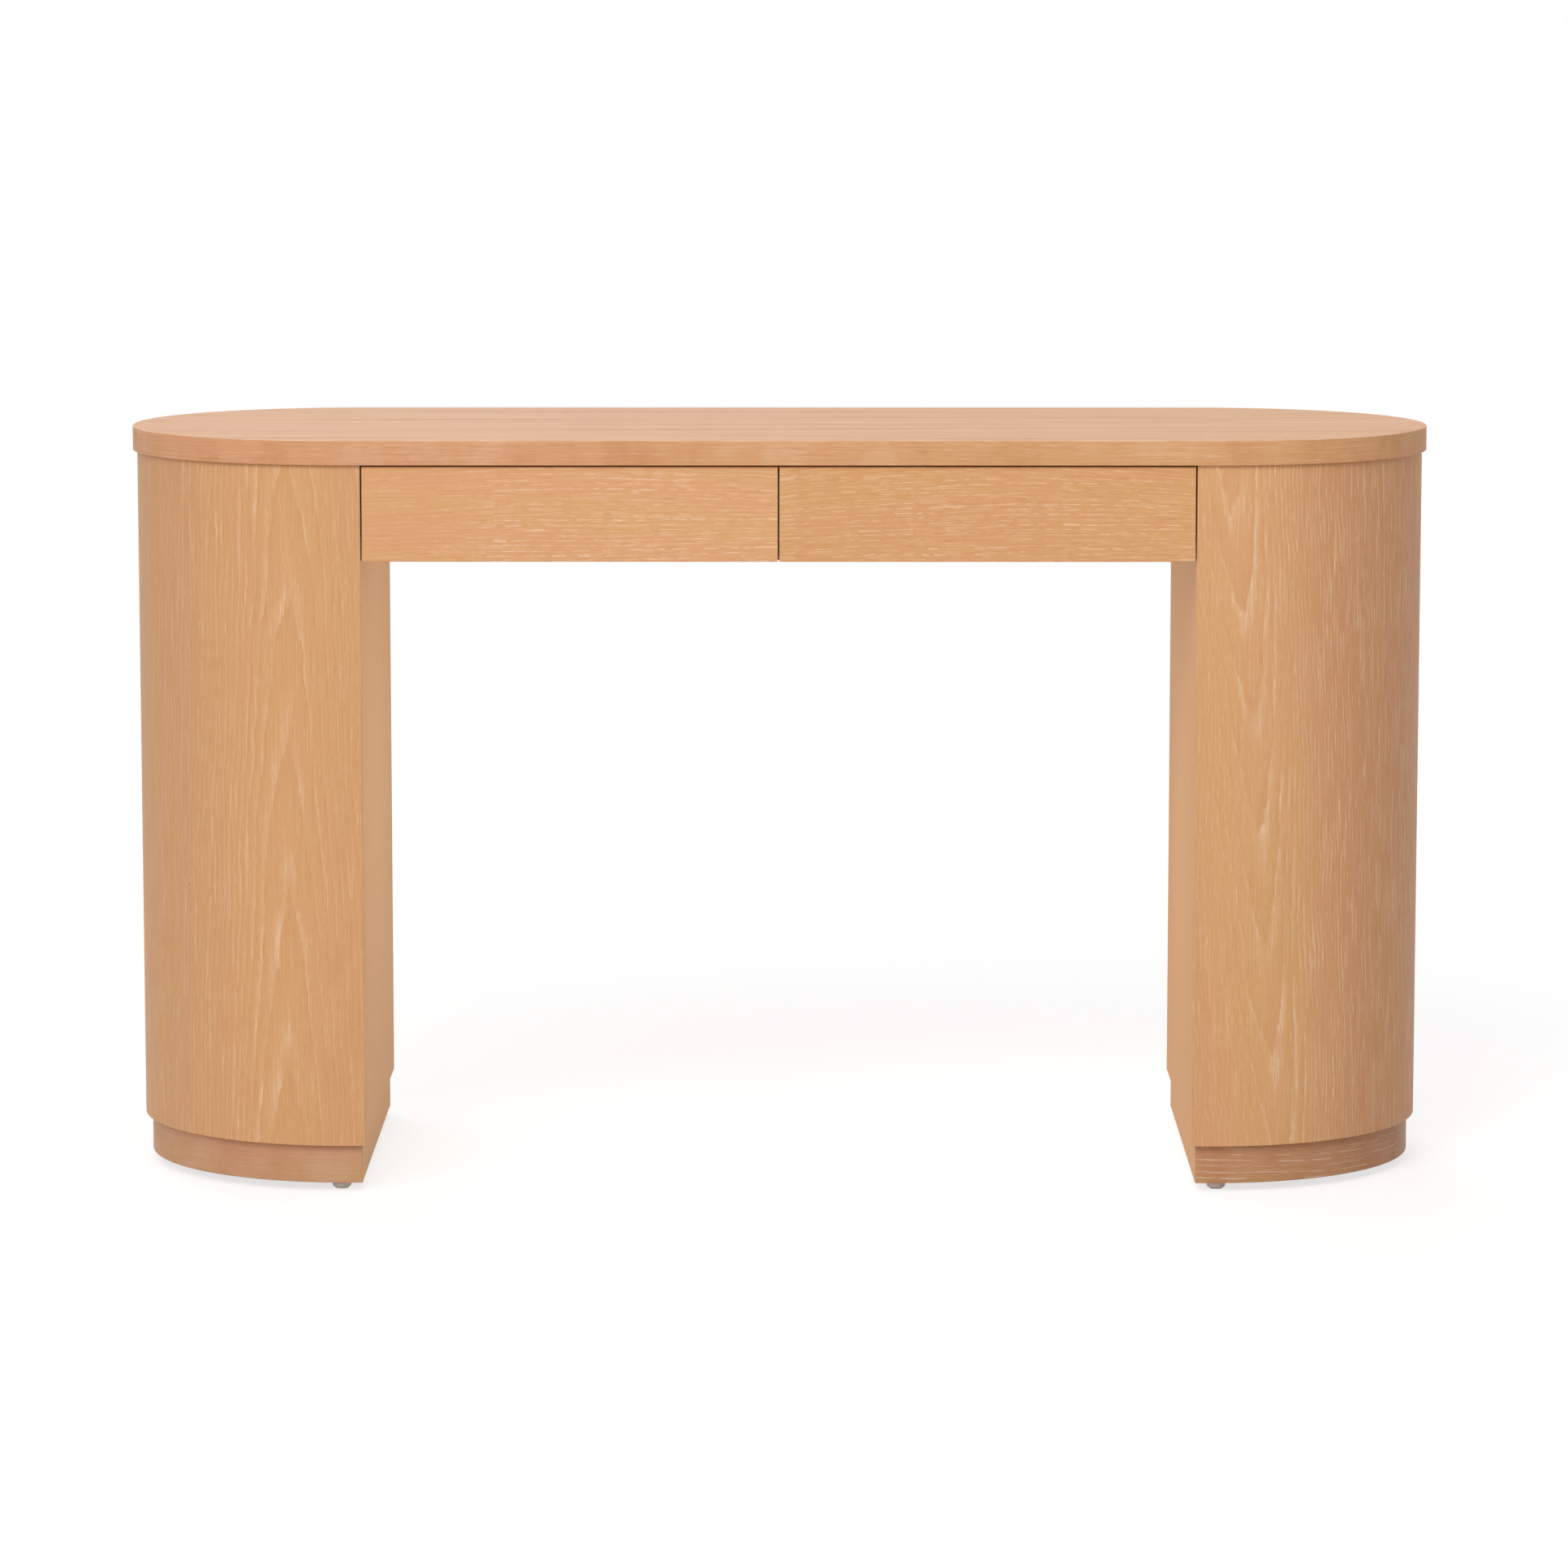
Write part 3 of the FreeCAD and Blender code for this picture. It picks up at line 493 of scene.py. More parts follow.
SWAY = Figure(5.0, 3.0, 0.0)
RIPPLE = Figure(45.0, 22.0, 3.0)
DRIFT = Figure(4.0, 2.5, 7.0, 0.0)
JAG = Figure(260.0, 24.0, 5.0, 3.0, 0.6)
LONG_HAIR = Figure(900.0, 14.0, 11.0)
SHORT_HAIR = Figure(1500.0, 80.0, 13.0)
GATE = Figure(60.0, 14.0, 17.0, 3.0)
CREASE = Figure(280.0, 7.0, 31.0, 1.0)
BREAK = Figure(190.0, 22.0, 37.0)
CLOUD = Figure(26.0, 2.5, 23.0, 3.0)
MOTTLE = Figure(14.0, 22.0, 41.0)
MIDDLE = 0.5  # the value about which noise goes up and down
LONG_SHARE = 0.55  # of the long hair in the hair
YEARS_APART = 7.3  # cells between two years, in the noise of how strong each is
YEAR_DRAW = 19.0
NARROWING = 0.6  # share of a band's width lost outside the arches
THREAD_REACH = 0.03  # how far from its middle the crease is in a thread
ROW_AT = 0.15  # share of a year
ROW_REACH = 0.13
FLECKS = 9.0  # cells of them in a metre along
FLECK_SLIM = 1.6  # how much longer than wide they are

# From where to where each mark fades in: metres, shares of a year, or values of its noise
ARCH_EDGE = (0.02, 0.12)
QUIET_SIDE = (0.004, -0.02)
BEGINNING = (-0.03, 0.05)
YEAR_START = (0.0, 0.05)
YEAR_END = (0.55, 1.0)
STRONG_YEAR = (0.35, 0.65)
FILLED = (0.38, 0.62)
FEATHERED = (0.44, 0.59)
STREAKED = (0.55, 0.64)
UNBROKEN = (0.45, 0.54)
PINKER = (0.36, 0.64)
THIN_HAIR = (0.5, 0.34)
DARKER = (0.5, 0.7)
PALER = (0.46, 0.3)
FLECK = (0.013, 0.006)


class Leaf(NamedTuple):
    """How one leaf of veneer was cut, in metres across and along the grain. Year rings are cones, so a
    flat cut shows them as nested arches."""

    centre: float  # across, the line that the arches stand on
    tip: float = 0.0  # along, the point of one arch
    turn: float = 1.0  # 1 where arches point up the grain, -1 where they point down it
    lean: float = 0.0  # how the centre line drifts across for each metre along
    year: float = 0.13  # along, from one arch to the next
    spread: float = 3.2  # slope of an arch's legs at its tip
    flare: float = 15.0  # how much steeper they are far out
    shoulder: float = 0.07  # across from the centre, where they are half that much steeper
    round_tip: float = 0.002  # across from the centre, how far the tip is rounded
    wander: float = 0.007  # how far the arches stray sideways
    uneven: float = 0.5  # how unlike the years are, in years
    jagged: float = 0.35  # how ragged the edges of the years are, in years
    band: float = 0.5  # share of a year that is porous
    plain: float = 0.4  # share of a band's pale that lies evenly, not in feathers
    line: float = 0.15  # strength of the dense line
    pores: float = 0.8  # strength of the pale pores in the bands
    fading: float = 0.5  # share of that strength lost outside the arches
    dashes: float = 0.4  # strength of the pale dashes, less within the arches
    dashes_apart: float = CREASE.wide  # cells of their noise in a metre across
    dashes_short: float = BREAK.long  # the same along
    hairs: float = 0.42  # strength of the finest pale streaks
    rosy: float = 0.5  # share of pinkish clouds
    quiet: float = 0.0  # share of the pale lost on the low side of the centre line
    begins: float = -9.0  # along, before which the wood is nearly smooth
    rows: float = 0.0  # strength of each year's row of dashes, outside the arches
    edge_highlight: float = 0.0  # across, how far in from the edge a pale painted highlight reaches
    mottle: float = 0.0  # strength of soft darker and paler clouds
    mottle_wide: float = MOTTLE.wide  # of them in a metre across
    mottle_long: float = MOTTLE.long  # the same along
    arc: float = 0.0  # how much more the grain bows for each metre across
    arc_at: float = 0.0  # along, the top of that bow
    arc_flat: float = 0.0  # across, where it runs straight
    fold: float = 0.0  # across, the line past which the arches come again, mirrored
    shade: float = 1.0  # how light the leaf is; on paired left and right leaves it also paints light and shade
    stain: tuple = (1.0, 1.0, 1.0)  # how much of its red, green and blue it keeps
    outer_painted_shade: tuple = (1.0, 1.0, 1.0)  # painted shade: how much of those is left outside the arches
    gloss: float = 0.14  # strength of the lacquer's reflection
    seed: float = 0.0  # which cut of the noise this is


def ring_phase(leaf, across, along, drawn):
    """Counts the years at a point, and gives its distance across from the leaf's centre line, mirrored
    past the fold and bent by slow noise. An arch's legs fall away from its rounded tip by that distance
    times a slope, which grows from the spread by the flare times q over one plus q, where q is the square
    of the distance over the shoulder. The count is the place along the grain plus that fall, over one
    year, plus slow and fine noise."""
    folded = (across + -leaf.fold).math("ABSOLUTE") * -1.0 + leaf.fold if leaf.fold else across
    sway, ripple, drift, jag = (drawn(figure) + -MIDDLE for figure in (SWAY, RIPPLE, DRIFT, JAG))
    line = folded + (along * -leaf.lean) + (leaf.lean * leaf.tip - leaf.centre)
    off = line + sway * (leaf.wander * 4) + ripple * leaf.wander
    away = (off * off + leaf.round_tip ** 2).math("SQRT") + -leaf.round_tip
    square = away * away * (1 / leaf.shoulder ** 2)
    fall = away * (square / (square + 1.0) * leaf.flare + leaf.spread)
    years = (along * leaf.turn + fall + -leaf.turn * leaf.tip) / leaf.year
    return years + drift * (leaf.uneven * 2) + jag * leaf.jagged, off


def oak_veneer(name, leaf):
    """Oak veneer under satin lacquer. Each year starts with a sharp edge of pale filled pores that thins
    out into smooth wood, and ends in a darker dense line. Fine noise along the grain feathers the pores
    and streaks the wood. Pale threads, fewer within the arches, and a row for each year outside them are
    broken into dashes."""
    finish = bpy.context.scene.desk_finish
    material, tree, shader = new_material(name)
    across, along = grain_coordinates(tree)
    if leaf.arc:
        run = along + -leaf.arc_at
        across = across + run * run * (across + -leaf.arc_flat) * leaf.arc

    def drawn(figure):
        """The noise of a figure, in this leaf's cut of it."""
        return noise(tree, across * figure.wide, along * figure.long, leaf.seed + figure.draw,
                     figure.detail, figure.roughness)

    years, off = ring_phase(leaf, across, along, drawn)
    ring = years.math("FRACT")
    outside = off.math("ABSOLUTE").rise(*ARCH_EDGE)
    slim = off.rise(*QUIET_SIDE) * -leaf.quiet + 1.0
    loud = slim.partly(0.5) * along.rise(*(leaf.begins + edge for edge in BEGINNING))
    vigour = noise(tree, years.math("FLOOR") * YEARS_APART, leaf.seed + YEAR_DRAW).rise(*STRONG_YEAR)
    hair = drawn(LONG_HAIR) * LONG_SHARE + drawn(SHORT_HAIR) * (1 - LONG_SHARE)
    gate = drawn(GATE).rise(*FILLED)

    band = (outside * (leaf.band * -NARROWING) + leaf.band) * slim
    porous = (ring / band * -1.0 + 1.0).math("MAXIMUM", 0.0) * ring.rise(*YEAR_START)
    kept = (outside * -leaf.fading + 1.0) * loud * (outside * (vigour + -1.0) + 1.0)
    filled = porous * gate.partly(0.85) * hair.rise(*FEATHERED).partly(1 - leaf.plain) * kept * leaf.pores
    crease = drawn(CREASE._replace(wide=leaf.dashes_apart))
    thread = crease.peak(MIDDLE, THREAD_REACH) * outside.partly(0.7) * leaf.dashes
    row = ring.peak(ROW_AT, ROW_REACH) * outside * vigour.partly(0.7) * leaf.rows
    unbroken = drawn(BREAK._replace(long=leaf.dashes_short)).rise(*UNBROKEN)
    streaks = hair.rise(*STREAKED) * leaf.hairs
    pale = (filled + (thread + row) * unbroken * loud + streaks).math("MINIMUM", 1.0)

    oak, rosy, late, pore = (
        [value * share * leaf.shade for value, share in zip(colour, leaf.stain)]
        for colour in (finish.oak, finish.rosy, finish.late, finish.pore))
    colour = blended(tree, drawn(CLOUD).rise(*PINKER) * (leaf.rosy * 2), oak, rosy)
    # Painted shade: outside the arches the colour is multiplied darker and tinted, so a wall darkens over
    # most of its bend away from the knee edge.
    colour = blended(tree, outside, colour, leaf.outer_painted_shade, "MULTIPLY")
    if leaf.mottle:
        patch = drawn(MOTTLE._replace(wide=leaf.mottle_wide, long=leaf.mottle_long))
        colour = blended(tree, patch.rise(*DARKER) * leaf.mottle, colour, late)
        colour = blended(tree, patch.rise(*PALER) * (leaf.mottle / 3), colour, pore)
    dense = ring.rise(*YEAR_END) * leaf.line + hair.rise(*THIN_HAIR) * 0.4
    colour = blended(tree, dense, colour, late)
    colour = blended(tree, pale, colour, pore)
    # Painted highlight: the rim is paled along its upper rounded edge, where the edge catches light.
    if leaf.edge_highlight:
        colour = blended(tree, across.rise(leaf.edge_highlight, leaf.edge_highlight / 2) * gate.partly(0.6), colour, pore)

    cells = tree.nodes.new("ShaderNodeTexVoronoi")
    cells.inputs["Scale"].default_value = FLECKS
    tree.links.new(vector(tree, across * FLECK_SLIM, along, leaf.seed), cells.inputs["Vector"])
    fleck = Signal(tree, cells.outputs["Distance"]).rise(*FLECK)
    blended(tree, fleck * 0.8, colour, finish.fleck).feed(shader.inputs["Base Color"])
    shader.inputs["Specular IOR Level"].default_value = leaf.gloss
    (pale * 0.12 + finish.satin).feed(shader.inputs["Roughness"])
    relief(tree, shader, hair, depth=0.01 * MM)
    return material


# Boards, metal and small parts

STREAKY = (0.35, 0.7)
CLOUDY = (0.3, 0.7)


def clouds(tree, place, detail, cells, along=None, cells_along=None):
    """Noise of so many cells to a metre, and of another number of them along one axis."""
    scaled = [place[axis] * (cells_along if axis == along else cells) for axis in (X, Y, Z)]
    return noise(tree, *scaled, detail=detail)


def darker(colour, *shares):
    """A colour that keeps these shares of its red, green and blue."""
    return tuple(value * share for value, share in zip(colour, shares))


def plain_wood(name, colour, along, plies=None):
    """Raw or clear-lacquered wood with faint fibres along one axis. Where plies are given, as the axis
    across them, where they start and how thick one is, every second one shows its darker end grain."""
    material, tree, shader = new_material(name)
    place = object_coordinates(tree)
    fibre = clouds(tree, place, 2.0, 420.0, along, 12.0)
    cloud = clouds(tree, place, 1.0, 24.0, along, 2.0)
    dark = fibre.rise(*STREAKY) * 0.55 + cloud.rise(*CLOUDY) * 0.35
    wood = blended(tree, dark, colour, darker(colour, 0.86, 0.8, 0.72))
    if plies:
        axis, start, thick = plies
        layer = ((place[axis] + -start) / (2 * thick) + 0.25).math("FRACT")
        cross = layer.rise(0.46, 0.5) * layer.rise(1.0, 0.96)
        speckle = clouds(tree, place, 1.0, 900.0)
        wood = blended(tree, cross * (speckle * 0.5 + 0.45), wood, darker(colour, 0.62, 0.52, 0.42))
    wood.feed(shader.inputs["Base Color"])
    (fibre * 0.15 + 0.5).feed(shader.inputs["Roughness"])
    shader.inputs["Specular IOR Level"].default_value = 0.3
    relief(tree, shader, fibre, depth=0.04 * MM)
    return material


def plated_steel(name, colour, roughness, along=None):
    """Metal with a plated skin: its gloss varies in small clouds, drawn out along an axis where it was
    rolled that way, and faint darker spangles lie in it."""
    material, tree, shader = new_material(name)
    place = object_coordinates(tree)
    brushed = clouds(tree, place, 2.0, 520.0, along, 14.0)
    spangle = clouds(tree, place, 2.0, 190.0)
    duller = darker(colour, 0.74, 0.74, 0.74)
    blended(tree, spangle.rise(*STREAKY) * 0.6, colour, duller).feed(shader.inputs["Base Color"])
    (brushed * 0.16 + spangle * 0.12 + (roughness - 0.14)).feed(shader.inputs["Roughness"])
    shader.inputs["Metallic"].default_value = 1.0
    relief(tree, shader, brushed, depth=0.01 * MM)
    return material


def moulded(name, colour, roughness):
    """Moulded nylon or rubber: a fine pebbled skin with slow clouds of tone."""
    material, tree, shader = new_material(name)
    place = object_coordinates(tree)
    pebble = clouds(tree, place, 2.0, 1500.0)
    cloud = clouds(tree, place, 1.0, 90.0)
    dark = cloud.rise(*CLOUDY) * 0.7 + pebble * 0.2
    blended(tree, dark, colour, darker(colour, 0.82, 0.82, 0.82)).feed(shader.inputs["Base Color"])
    (pebble * 0.2 + (roughness - 0.1)).feed(shader.inputs["Roughness"])
    relief(tree, shader, pebble, depth=0.03 * MM)
    return material


def dress(nodes, material):
    """Puts a material on CAD nodes as they are."""
    for name in nodes:
        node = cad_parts[name]
        if not node.data.materials:
            node.data.materials.append(None)
        for place in node.material_slots:
            place.material = material


def dress_ply(node, kind, colour, thickness, along, plies):
    """Puts ply on a CAD board, with its layers counted through the board's thickness."""
    low, high = span(node)
    ply = (high[thickness] - low[thickness]) / plies
    wood = plain_wood(f"{node}_{kind}", colour, along, (thickness, low[thickness], ply))
    dress([node], wood)


# The leaves of this desk

TOP_LEAF = Leaf(
    centre=0.02, tip=0.1, turn=-1.0, year=0.5, spread=14.0, flare=30.0, shoulder=0.1, wander=0.005,
    jagged=0.12, band=0.4, plain=0.7, pores=0.95, fading=0.1, line=0.6, dashes=0.6, dashes_apart=200.0,
    dashes_short=10.0, rosy=0.9, mottle=0.9, mottle_wide=34.0, mottle_long=1.8, shade=0.95,
    stain=(1.0, 0.99, 1.02), gloss=0.25, seed=1.0)
# The rim's leaf paints a pale highlight along its upper rounded edge.
RIM_LEAF = Leaf(
    centre=-0.2, year=0.3, spread=60.0, flare=10.0, pores=0.1, rows=0.1, dashes=0.2,
    dashes_short=40.0, hairs=0.25, rosy=0.8, mottle=0.5, edge_highlight=0.0016, shade=0.94, stain=(1.0, 1.0, 1.08),
    seed=2.5)
# Both walls are painted darker outside their arches as shade, the right one most and pinker.
LEFT_WALL_LEAF = Leaf(
    centre=0.076, tip=0.583, year=0.145, spread=3.3, flare=18.0, shoulder=0.06, pores=0.7, rows=0.4,
    fading=0.3, dashes=0.3, dashes_short=16.0, hairs=0.32, quiet=0.5, rosy=0.22, shade=0.95,
    stain=(1.0, 1.02, 1.06), outer_painted_shade=(0.97, 0.96, 1.02), seed=4.0)
RIGHT_WALL_LEAF = Leaf(
    centre=0.062, tip=0.37, turn=-1.0, lean=-0.08, year=0.11, spread=3.4, flare=20.0, shoulder=0.055,
    rows=0.8, fading=0.3, dashes_apart=360.0, dashes_short=16.0, hairs=0.36,
    quiet=0.7, rosy=0.3, shade=0.98, stain=(0.99, 1.03, 1.08), outer_painted_shade=(0.92, 0.84, 0.92), seed=6.0)
FRONT_LEAF = Leaf(
    centre=0.9, year=0.2, spread=30.0, flare=8.0, wander=0.003, pores=0.2, fading=0.4, rows=0.7,
    dashes_short=60.0)
# Painted light: the left front is made lighter and the right one darker, for light that falls more brightly
# on the left.
LEFT_FRONT_LEAF = FRONT_LEAF._replace(
    begins=-0.32, arc=2.0, arc_at=-0.25, arc_flat=0.65, rosy=0.4, shade=1.01, stain=(1.0, 1.02, 1.08),
    seed=8.0)
RIGHT_FRONT_LEAF = FRONT_LEAF._replace(arc=3.2, arc_at=0.2, arc_flat=0.64, rosy=0.3, shade=0.96, seed=9.0)
BASE_LEAF = Leaf(centre=-0.3, year=0.3, spread=50.0, rosy=0.9, mottle=0.4)
# Painted shade: the bases are made darker than the walls above, the right one most, for the shade under the
# walls, near the floor and on the side away from the light; they are also a darker, pinker oak.
LEFT_BASE_LEAF = BASE_LEAF._replace(
    pores=0.15, dashes=0.1, hairs=0.15, shade=0.83, stain=(1.0, 1.05, 1.27), seed=12.0)
RIGHT_BASE_LEAF = BASE_LEAF._replace(
    flare=0.0, wander=0.003, pores=0.2, rows=1.3, dashes=0.3, dashes_short=36.0, shade=0.73,
    stain=(1.0, 1.0, 1.12), seed=14.0)
# Painted light: the left panel is made lighter and the right one darker, as the main lamp lights only the
# right knee wall; the wall ends and base rails share these leaves.
LEFT_PANEL_LEAF = Leaf(
    centre=-0.4, year=0.3, spread=40.0, pores=0.1, dashes=0.05, hairs=0.1, rosy=0.2, shade=1.06,
    stain=(1.0, 1.06, 1.05), gloss=0.06, seed=16.0)
RIGHT_PANEL_LEAF = LEFT_PANEL_LEAF._replace(shade=0.94, stain=(1.0, 1.02, 1.0), seed=17.0)
APRON_LEAF = Leaf(centre=0.2, year=0.3, spread=50.0, pores=0.4, seed=18.0)


# Operators, one for each piece or group of like pieces

class DeskOperator:
    """What all the desk's operators share."""

    bl_options = {"REGISTER", "UNDO"}

    @property
    def sizes(self):
        """The small sizes set in the panel."""
        return bpy.context.scene.desk_sizes

    def make_slab(self, name, node, face, outward, along, ease, oak, body="desk", slot="oak_veneer"):
        """A flat veneered board in the place of a CAD node."""
        patches = slab_patches(*span(node), face, outward, along, ease, self.sizes.ease_steps)
        make_piece(name, patches, [oak], body, node)

    def make_bent_wall(self, name, node, wall, grain_along_bend, finishes, slot="oak_veneer"):
        """A veneered wall bent round a pedestal, in the place of a CAD node."""
        sizes = self.sizes
        patches = bent_wall_patches(*span(node), wall, sizes.knee_ease, sizes.lip_ease, grain_along_bend,
                                    sizes.ease_steps, sizes.bend_steps)
        make_piece(name, patches, finishes, "desk", node)


class WRITINGDESK_OT_desktop(DeskOperator, bpy.types.Operator):
    """Make the desktop with its half-round ends"""

    bl_idname = "writing_desk.desktop"
    bl_label = "Desktop"

    def execute(self, context):
        sizes = self.sizes
        patches = stadium_patches(*span("desktop"), sizes.top_ease, sizes.ease_steps, sizes.bend_steps)
        finishes = [oak_veneer("desktop_oak", TOP_LEAF), oak_veneer("desktop_rim_oak", RIM_LEAF)]
        make_piece("desktop_veneered", patches, finishes, "desk", "desktop")
        return {"FINISHED"}


class WRITINGDESK_OT_curved_walls(DeskOperator, bpy.types.Operator):
    """Make the bent outer walls of both pedestals"""

    bl_idname = "writing_desk.curved_walls"
    bl_label = "Curved walls"

    def execute(self, context):
        leaves = ((LEFT_WALL_LEAF, LEFT_PANEL_LEAF), (RIGHT_WALL_LEAF, RIGHT_PANEL_LEAF))
        for side, (leaf, end_leaf) in zip(SIDES, leaves):
            skin = f"{side}_curved_skin"
            low, high = span(skin)
            wall = high[Y] - span(f"{side}_inner_panel")[1][Y]
            knee, far = sorted(np.abs([low[X], high[X]]))
            half_way_round = (far - high[Y] - knee) + math.pi * high[Y] / 2
            finishes = [oak_veneer(f"{side}_wall_oak", leaf._replace(fold=half_way_round)),
                        oak_veneer(f"{side}_wall_end_oak", end_leaf)]
            self.make_bent_wall(f"{side}_curved_wall", skin, wall, False, finishes)
        return {"FINISHED"}


class WRITINGDESK_OT_bases(DeskOperator, bpy.types.Operator):
    """Make the bent base walls and the flat base rails under both pedestals"""

    bl_idname = "writing_desk.bases"
    bl_label = "Bases"

    def execute(self, context):
        leaves = ((LEFT_BASE_LEAF, LEFT_PANEL_LEAF), (RIGHT_BASE_LEAF, RIGHT_PANEL_LEAF))
        slot = "oak_veneer_edge"
        for side, (leaf, rail_leaf) in zip(SIDES, leaves):
            skin = f"{side}_plinth_skin"
            rail = f"{side}_plinth_rail"
            oak = oak_veneer(f"{side}_base_oak", leaf)
            rail_oak = oak_veneer(f"{side}_rail_oak", rail_leaf)
            wall = span(skin)[1][Y] - span(rail)[1][Y]
            self.make_bent_wall(f"{side}_base_wall", skin, wall, True, [oak, rail_oak], slot)
            self.make_slab(f"{side}_base_rail", rail, X, TOWARDS_KNEES[side], Y, self.sizes.panel_ease,
                           rail_oak, slot=slot)
        return {"FINISHED"}


class WRITINGDESK_OT_knee_panels(DeskOperator, bpy.types.Operator):
    """Make the flat walls beside the knees and the apron behind the drawers"""

    bl_idname = "writing_desk.knee_panels"
    bl_label = "Knee panels"

    def execute(self, context):
        ease = self.sizes.panel_ease
        for side, leaf in zip(SIDES, (LEFT_PANEL_LEAF, RIGHT_PANEL_LEAF)):
            self.make_slab(f"{side}_knee_panel", f"{side}_inner_panel", X, TOWARDS_KNEES[side], Z, ease,
                           oak_veneer(f"{side}_panel_oak", leaf))
        self.make_slab("rear_apron_panel", "rear_apron", Y, 1, X, ease, oak_veneer("apron_oak", APRON_LEAF))
        return {"FINISHED"}


class WRITINGDESK_OT_drawer_fronts(DeskOperator, bpy.types.Operator):
    """Make the veneered fronts of both drawers"""

    bl_idname = "writing_desk.drawer_fronts"
    bl_label = "Drawer fronts"

    def execute(self, context):
        for side, leaf in zip(SIDES, (LEFT_FRONT_LEAF, RIGHT_FRONT_LEAF)):
            self.make_slab(f"{side}_drawer_face", f"{side}_drawer_front", Y, -1, X, self.sizes.front_ease,
                           oak_veneer(f"{side}_front_oak", leaf), body=f"{side}_drawer")
        return {"FINISHED"}


class WRITINGDESK_OT_carcass(DeskOperator, bpy.types.Operator):
    """Finish the boards inside the pedestals, the stretchers, the divider, the blocks and the dowels"""

    bl_idname = "writing_desk.carcass"
    bl_label = "Carcass"

    PLIES = 11

    def execute(self, context):
        finish = context.scene.desk_finish
        level = [f"{side}_{board}" for side in SIDES for board in ("top_board", "middle_rib", "bottom_board")]
        boards = [(node, Z, Y) for node in level]
        boards += [(node, Z, X) for node in ("front_stretcher", "rear_stretcher")]
        boards += [("centre_divider", X, Y)]
        boards += [(f"{side}_plinth_blocks", Z, X) for side in SIDES]
        for node, thickness, along in boards:
            dress_ply(node, "wood", finish.board, thickness, along, self.PLIES)
        dress(["frame_dowels"], plain_wood("dowel_beech", finish.beech, X))
        return {"FINISHED"}


class WRITINGDESK_OT_drawer_boxes(DeskOperator, bpy.types.Operator):
    """Finish the plywood boxes of both drawers"""

    bl_idname = "writing_desk.drawer_boxes"
    bl_label = "Drawer boxes"

    PLIES = 9
    BOTTOM_PLIES = 3
    BOARDS = (("box_front", Y, X, PLIES), ("box_back", Y, X, PLIES), ("left_side", X, Y, PLIES),
              ("right_side", X, Y, PLIES), ("bottom", Z, X, BOTTOM_PLIES))

    def execute(self, context):
        birch = context.scene.desk_finish.ply
        for side in SIDES:
            for board, thickness, along, plies in self.BOARDS:
                dress_ply(f"{side}_drawer_{board}", "birch", birch, thickness, along, plies)
        return {"FINISHED"}


class WRITINGDESK_OT_slides(DeskOperator, bpy.types.Operator):
    """Finish the drawer slides: rails, balls and cages"""

    bl_idname = "writing_desk.slides"
    bl_label = "Drawer slides"

    def execute(self, context):
        finish = context.scene.desk_finish
        zinc = plated_steel("slide_zinc", finish.zinc, 0.36, Y)
        bright = plated_steel("ball_steel", finish.ball, 0.2)
        for side in SIDES:
            rails = [f"{side}_drawer_{rail}_rails" for rail in ("outer", "middle", "inner")]
            cages = [f"{side}_drawer_{cage}_ball_cages" for cage in ("outer", "inner")]
            dress(rails, zinc)
            dress(cages, bright)
        return {"FINISHED"}


class WRITINGDESK_OT_small_parts(DeskOperator, bpy.types.Operator):
    """Finish the screws, the glides and the drawer bumpers"""

    bl_idname = "writing_desk.small_parts"
    bl_label = "Small parts"

    SCREWED = ("top", "divider", "plinth", "glide", "outer_rail", "left_drawer_rail", "right_drawer_rail",
               "left_drawer_front", "right_drawer_front")

    def execute(self, context):
        finish = context.scene.desk_finish
        screws = [f"{part}_screws" for part in self.SCREWED]
        glides = [f"{side}_glides" for side in SIDES]
        dress(screws, plated_steel("screw_zinc", finish.screw, 0.34))
        dress(glides, moulded("glide_nylon", finish.nylon, 0.6))
        dress(["drawer_bumpers"], moulded("bumper_rubber", finish.rubber, 0.55))
        return {"FINISHED"}


